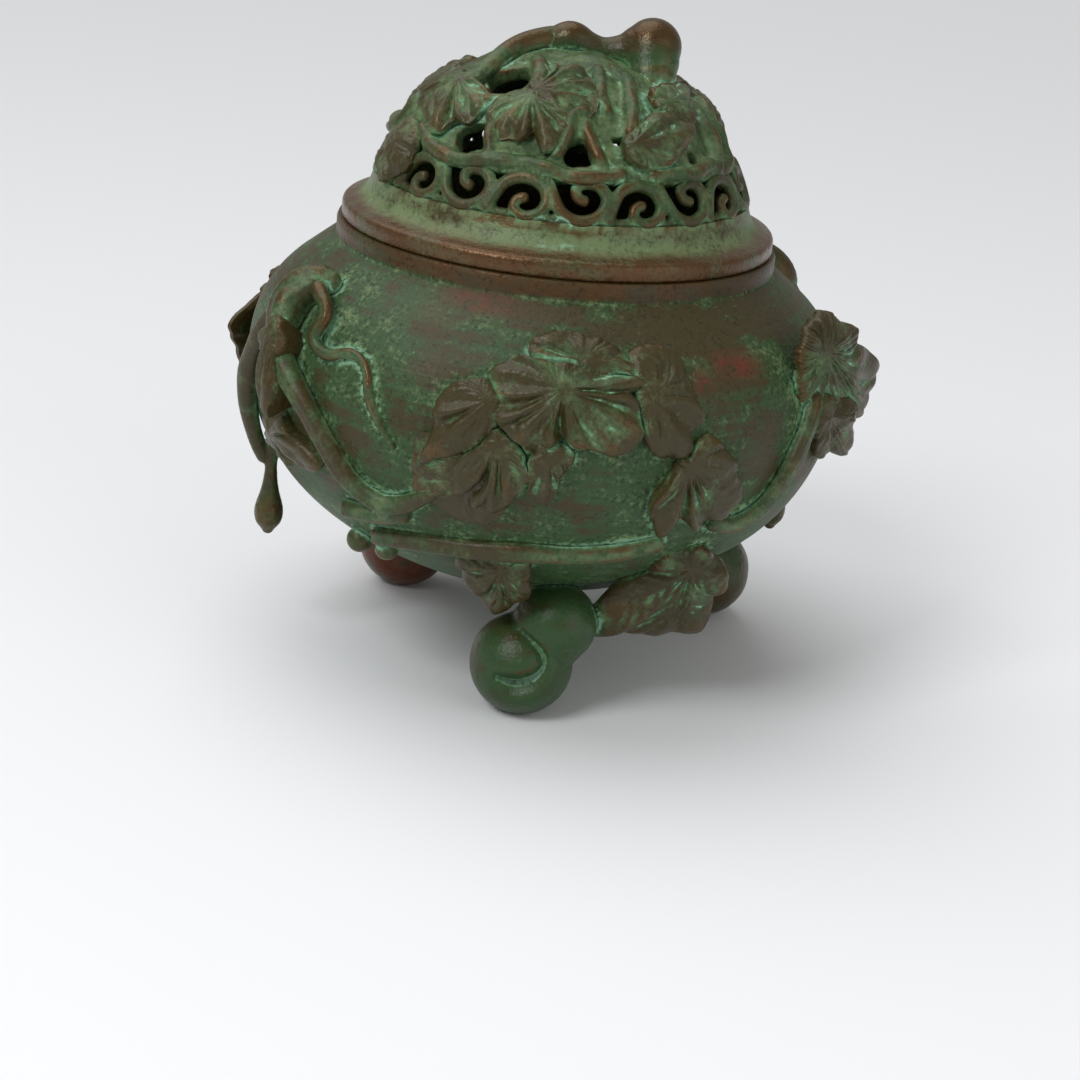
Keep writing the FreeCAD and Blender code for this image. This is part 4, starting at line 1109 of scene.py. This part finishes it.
class BURNER_OT_handles(bpy.types.Operator):
    """Model the handles: vine, tendril, leaves and hanging gourd on each side"""
    bl_idname = "burner.handles"
    bl_label = "Handles"

    def execute(self, context):
        sizes = context.scene.burner_leaves
        wall = bowl_wall(context.scene.burner_bowl)
        for side in ("left", "right"):
            turned = side == "right"
            twig = stem(on_wall(wall, VINE), groove=0.16, knots=0.2, segments=32, facing=outward)
            piece(twig, side + "_vine", BODY, "vine_bronze", turned)
            twig = stem(on_wall(wall, TENDRIL), groove=0.12, knots=0.2, segments=24, facing=outward)
            piece(twig, side + "_tendril", BODY, "vine_bronze", turned)
            for seed, (name, (azimuth, z, lift, lobes)) in enumerate(HANDLE_LEAVES.items(), 10):
                form = lobed(lobes, sizes.notch, seed)
                bm = leaf(wall.lay(azimuth, z), form, sizes, seed, lift)
                piece(bm, side + "_" + name, BODY, "leaf_bronze", turned)
            drop = smooth_route([(*DROP_AT, z, radius) for z, radius in DROP_SECTION])
            forms = [stem(on_wall(wall, DROP_STEM), knots=0.2), stem(drop)]
            bm = fused(joined(forms), voxel=0.35, passes=4)
            piece(bm, side + "_hanging_gourd", BODY, "vine_bronze", turned)
        return {"FINISHED"}


class BURNER_OT_ears(bpy.types.Operator):
    """Model the leaves that stand out at the sides, with their vines"""
    bl_idname = "burner.ears"
    bl_label = "Ear leaves"

    def execute(self, context):
        sizes = context.scene.burner_leaves
        wall = bowl_wall(context.scene.burner_bowl)
        for side in ("right", "left"):
            turned = side == "left"
            hub, face, tilt, lobes = EAR_LEAF
            form = lobed(lobes, sizes.notch, 30)
            place = flat_lay(hub, face, tilt, bow=0.002)
            bm = leaf(place, form, sizes, 30, lift=0.4, backed=True, veins=0.5, fine=0.4, steps=288)
            piece(bm, side + "_ear_leaf", BODY, "leaf_bronze", turned, LEFT_EAR_DROP if turned else 0.0)
            hub, face, tilt, lobes = UNDER_LEAF
            form = lobed(lobes, sizes.notch, 31)
            place = flat_lay(hub, face, tilt, bow=0.004)
            bm = leaf(place, form, sizes, 31, lift=0.4, backed=True, veins=0.5, fine=0.3)
            piece(bm, side + "_under_leaf", BODY, "leaf_bronze", turned)
            twig = stem(on_wall(wall, SIDE_VINE), groove=0.16, knots=0.2, segments=24, facing=outward)
            piece(twig, side + "_side_vine", BODY, "vine_bronze", turned)
        return {"FINISHED"}


class BURNER_OT_stems(bpy.types.Operator):
    """Model the cut twigs, the ribbon stem and the buds low on the bowl"""
    bl_idname = "burner.stems"
    bl_label = "Stems and buds"

    def execute(self, context):
        wall = bowl_wall(context.scene.burner_bowl)
        for side in ("front", "back"):
            turned = side == "back"
            twig = stem(on_wall(wall, CUT_STUB), groove=0.16, knots=0.2, segments=24, facing=outward)
            piece(twig, side + "_cut_stub", BODY, "vine_bronze", turned)
            buds = [ball(wall.lay(azimuth, z)(0.0, 0.0, lift), radius, subdivisions=4)
                    for azimuth, z, lift, radius in BUDS]
            piece(joined(buds), side + "_buds", BODY, "vine_bronze", turned)
        twig = stem(on_wall(wall, RIBBON), groove=0.2, knots=0.2, segments=24, facing=outward)
        piece(twig, "front_ribbon_stem", BODY, "vine_bronze")
        return {"FINISHED"}


class BURNER_OT_lid(bpy.types.Operator):
    """Turn the lid's rim and model its scroll gallery and pierced dome"""
    bl_idname = "burner.lid"
    bl_label = "Lid"

    def execute(self, context):
        bowl = context.scene.burner_bowl
        lid = context.scene.burner_lid
        rim = bowl.rim_z / MM
        flange = lid.flange_r / MM
        band = rim + lid.band / MM
        foot_z = rim + lid.gallery_foot / MM
        top_z = foot_z + lid.gallery / MM
        centre = (bowl.rim_z - lid.dome_drop) / MM
        radius = lid.dome_r / MM
        wall = lid.wall / MM
        outer = math.sqrt(radius ** 2 - (foot_z - centre) ** 2)
        inner = math.sqrt((radius - wall) ** 2 - (foot_z - centre) ** 2)
        bore, spigot, depth = SPIGOT
        section = [(bore, rim - depth), (spigot - 0.2, rim - depth), (spigot, rim - depth + 0.2),
                   (spigot, rim), (flange - 0.6, rim), (flange - 0.2, rim + 0.15), (flange, rim + 0.5),
                   (flange, band - 0.9), (flange - 0.15, band - 0.45), (flange - 0.5, band - 0.1),
                   (flange - 1.0, band + 0.05)]
        section += [(r, band + up) for r, up in COVE]
        section += [(outer, foot_z), (inner, foot_z), (bore, rim + 4.2), (bore, rim - depth)]
        piece(lathe(section, steps=288), "lid_flange", LID, "lid_rim_bronze")
        piece(self.gallery(lid, foot_z, top_z), "lid_gallery", LID, "lid_openwork_bronze")
        piece(self.dome(lid, wall, top_z, centre, radius), "lid_dome", LID, "lid_openwork_bronze")
        return {"FINISHED"}

    def gallery(self, lid, foot_z, top_z):
        """The running scroll: hooked waves that break upwards and downwards in turn, each starting from the
        side of the one before, with a thin rail behind their feet and one behind their crests."""
        surface = dome_wall(lid, bpy.context.scene.burner_bowl)
        bar = lid.scroll_bar / MM
        middle = (foot_z + top_z) / 2
        half = math.pi * np.interp(middle, surface.z, surface.r) / (2 * lid.waves)
        crest = (top_z - foot_z) / 2 - 0.3

        def ring(z, thick):
            r = np.interp(z, surface.z, surface.r) - 1.5
            turns = np.linspace(0, FULL_TURN, 17)
            return lathe([(r + thick * math.cos(t), z + thick * math.sin(t)) for t in turns], steps=160)

        forms = [ring(foot_z + 0.2, 0.9), ring(top_z + 0.1, 0.9)]
        wave = smooth_route([(x * half, y * crest, thick * bar) for x, y, thick in SCROLL_WAVE], pieces=4)
        for index in range(2 * lid.waves):
            up = 1 if index % 2 else -1
            lay = surface.lay(SCROLL_START + index * 180 / lid.waves, middle)
            hook = [(*lay(x, up * y, -0.6), thick) for x, y, thick in wave]
            forms.append(stem(hook, segments=14, facing=outward))
        return fused(joined(forms), voxel=0.3, passes=3)

    def dome(self, lid, wall, top_z, centre, radius):
        """The dome's shell, uneven as modelled wax is, with its smoke holes."""
        surface = dome_wall(lid, bpy.context.scene.burner_bowl)
        foot = math.asin((top_z - centre) / radius)
        turns = np.linspace(foot - 0.02, math.pi / 2, 40)
        under = radius - wall
        section = [(radius * math.cos(t), centre + radius * math.sin(t)) for t in turns[:-1]]
        section += [(0.0, centre + radius), (0.0, centre + under)]
        section += [(under * math.cos(t), centre + under * math.sin(t)) for t in turns[-2::-1]]
        section.append(section[0])
        shell = lathe(section, steps=160)
        cuts = []
        for seed, (azimuth, z, wide, tall) in enumerate(SMOKE_HOLES):
            cut = bmesh.new()
            bmesh.ops.create_cone(cut, cap_ends=True, segments=24, radius1=1.0, radius2=0.8, depth=12.0)
            # No hole is quite round.
            for vert in cut.verts:
                angle = math.atan2(vert.co.y, vert.co.x)
                vert.co.xy *= 1 + 0.13 * math.cos(4 * angle + seed) + 0.06 * math.sin(3 * angle + 2 * seed)
                vert.co.x *= wide
                vert.co.y *= tall
            point = Vector(surface.lay(azimuth, z)(0.0, 0.0, 0.0))
            normal = (point - Vector((0, 0, centre))).normalized()
            along = Vector((math.cos(math.radians(azimuth)), math.sin(math.radians(azimuth)), 0))
            up = normal.cross(along)
            turn = Matrix((along, up, -normal)).transposed().to_4x4()
            bmesh.ops.transform(cut, matrix=Matrix.Translation(point) @ turn, verts=cut.verts)
            bmesh.ops.recalc_face_normals(cut, faces=cut.faces)
            cuts.append(cut)
        tendrils = [stem(on_wall(surface, route), segments=12) for route in DOME_RELIEF]
        bm = fused(joined([pierced(shell, joined(cuts)), *tendrils]), voxel=0.4, passes=4)
        places = positions(bm)
        reach = np.linalg.norm(places - (0, 0, centre), axis=1)
        away = (places - (0, 0, centre)) / reach[:, None]
        high = np.clip((reach - radius + wall) / wall, 0, 1)
        uneven = lumps(places, size=6.0, height=0.9, seed=5) + lumps(places, size=2.5, height=0.3, seed=6)
        move(bm, places + away * (uneven * high)[:, None])
        return bm


class BURNER_OT_dome_leaves(bpy.types.Operator):
    """Model the leaves of the dome"""
    bl_idname = "burner.dome_leaves"
    bl_label = "Leaves of the dome"

    def execute(self, context):
        sizes = context.scene.burner_leaves
        wall = dome_wall(context.scene.burner_lid, context.scene.burner_bowl)
        for seed, (name, (azimuth, z, outline, creases)) in enumerate(DOME_LEAVES.items(), 40):
            form = (outline, creases) if creases else lobed(outline, 1.3 * sizes.notch, seed)
            bm = leaf(wall.lay(azimuth, z), form, sizes, seed, lift=1.5, veins=1.0)
            piece(bm, "dome_" + name + "_leaf", LID, "leaf_bronze")
        return {"FINISHED"}


class BURNER_OT_finial(bpy.types.Operator):
    """Model the gourd finial and its stem"""
    bl_idname = "burner.finial"
    bl_label = "Finial"

    def execute(self, context):
        wall = dome_wall(context.scene.burner_lid, context.scene.burner_bowl)
        route = smooth_route([(x, 0.0, z, radius) for x, z, radius in FINIAL_GOURD], pieces=8)
        forms = [ball((x, y, z), radius, subdivisions=5) for x, y, z, radius in FINIAL_BULBS]
        forms.insert(0, stem(route, segments=48))
        piece(fused(joined(forms), voxel=0.35, passes=6), "finial_gourd", LID, "finial_bronze")
        piece(stem(on_wall(wall, STEM)), "finial_stem", LID, "vine_bronze")
        return {"FINISHED"}


class BURNER_OT_weather(bpy.types.Operator):
    """Find the hollows and the crests that the patina follows"""
    bl_idname = "burner.weather"
    bl_label = "Weathering"

    def execute(self, context):
        for body in (BODY, LID):
            weather([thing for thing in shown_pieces() if body_of(thing) == [body]])
        return {"FINISHED"}


class BURNER_OT_stage(bpy.types.Operator):
    """Set up the floor, the light and the camera"""
    bl_idname = "burner.stage"
    bl_label = "Stage"

    def execute(self, context):
        scene = context.scene
        scene.view_settings.view_transform = "Standard"
        bm = bmesh.new()
        bmesh.ops.create_grid(bm, x_segments=1, y_segments=1, size=3.0)
        floor = bare_object("floor", bm)
        # Matt paper: pale, and without any gloss of its own
        paper = bpy.data.materials.new("studio_paper")
        paper.use_nodes = True
        paper.node_tree.nodes["Principled BSDF"].inputs["Base Color"].default_value = linear("#eef0f4")
        paper.node_tree.nodes["Principled BSDF"].inputs["Roughness"].default_value = 0.9
        floor.data.materials.append(paper)
        floor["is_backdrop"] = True
        world = bpy.data.worlds.new("studio")
        world.use_nodes = True
        world.node_tree.nodes["Background"].inputs["Color"].default_value = linear("#ebe9e4")
        world.node_tree.nodes["Background"].inputs["Strength"].default_value = WORLD_STRENGTH
        scene.world = world
        for name, (kind, place, size, power) in LAMPS.items():
            light = bpy.data.lights.new(name, kind)
            if kind == "SUN":
                light.angle = size
            else:
                light.size = size
            light.energy = power
            lamp = bpy.data.objects.new(name, light)
            lamp.location = place
            aim = Vector(LAMPS_AIM) - Vector(place)
            lamp.rotation_euler = aim.to_track_quat("-Z", "Y").to_euler()
            context.collection.objects.link(lamp)
        self.camera(context)
        return {"FINISHED"}

    def camera(self, context):
        """The camera stands in front and a little above, tipped to one side as the picture is."""
        yaw, pitch, roll = (math.radians(angle) for angle in CAMERA_TURN)
        ahead = Vector((math.sin(yaw) * math.cos(pitch), math.cos(yaw) * math.cos(pitch), -math.sin(pitch)))
        right = Vector((math.cos(yaw), -math.sin(yaw), 0))
        up = right.cross(ahead)
        x = right * math.cos(roll) + up * math.sin(roll)
        y = up * math.cos(roll) - right * math.sin(roll)
        lens = bpy.data.cameras.new("camera")
        lens.sensor_width = 36.0
        lens.lens = CAMERA_FOCAL * lens.sensor_width
        lens.clip_start = 0.01
        eye = bpy.data.objects.new("camera", lens)
        turn = Matrix((x, y, -ahead)).transposed().to_4x4()
        eye.matrix_world = Matrix.Translation(CAMERA_PLACE) @ turn
        context.collection.objects.link(eye)
        context.scene.camera = eye


class BURNER_PT_panel(bpy.types.Panel):
    """The burner's pieces and sizes"""
    bl_idname = "BURNER_PT_panel"
    bl_label = "Incense burner"
    bl_space_type = "VIEW_3D"
    bl_region_type = "UI"
    bl_category = "Burner"

    def draw(self, context):
        for step in STEPS:
            self.layout.operator(step.bl_idname)
        for group, sizes in GROUPS.items():
            for name in sizes.__annotations__:
                self.layout.prop(getattr(context.scene, group), name)


GROUPS = {"burner_bowl": BowlSizes, "burner_lid": LidSizes, "burner_leaves": LeafSizes,
          "burner_colours": PatinaColours}
STEPS = (BURNER_OT_bronze, BURNER_OT_bowl, BURNER_OT_feet, BURNER_OT_foot_leaves, BURNER_OT_clusters,
         BURNER_OT_handles, BURNER_OT_ears, BURNER_OT_stems, BURNER_OT_lid, BURNER_OT_dome_leaves,
         BURNER_OT_finial, BURNER_OT_weather, BURNER_OT_stage)


def register():
    for cls in (*GROUPS.values(), *STEPS, BURNER_PT_panel):
        bpy.utils.register_class(cls)
    for name, group in GROUPS.items():
        setattr(bpy.types.Scene, name, PointerProperty(type=group))


def unregister():
    for name in GROUPS:
        delattr(bpy.types.Scene, name)
    for cls in (BURNER_PT_panel, *STEPS, *GROUPS.values()):
        bpy.utils.unregister_class(cls)


def main():
    register()
    bpy.ops.burner.bronze()
    bpy.ops.burner.bowl()
    bpy.ops.burner.feet()
    bpy.ops.burner.foot_leaves()
    bpy.ops.burner.clusters()
    bpy.ops.burner.handles()
    bpy.ops.burner.ears()
    bpy.ops.burner.stems()
    bpy.ops.burner.lid()
    bpy.ops.burner.dome_leaves()
    bpy.ops.burner.finial()
    bpy.ops.burner.weather()
    bpy.ops.burner.stage()


if __name__ == "__main__":
    main()
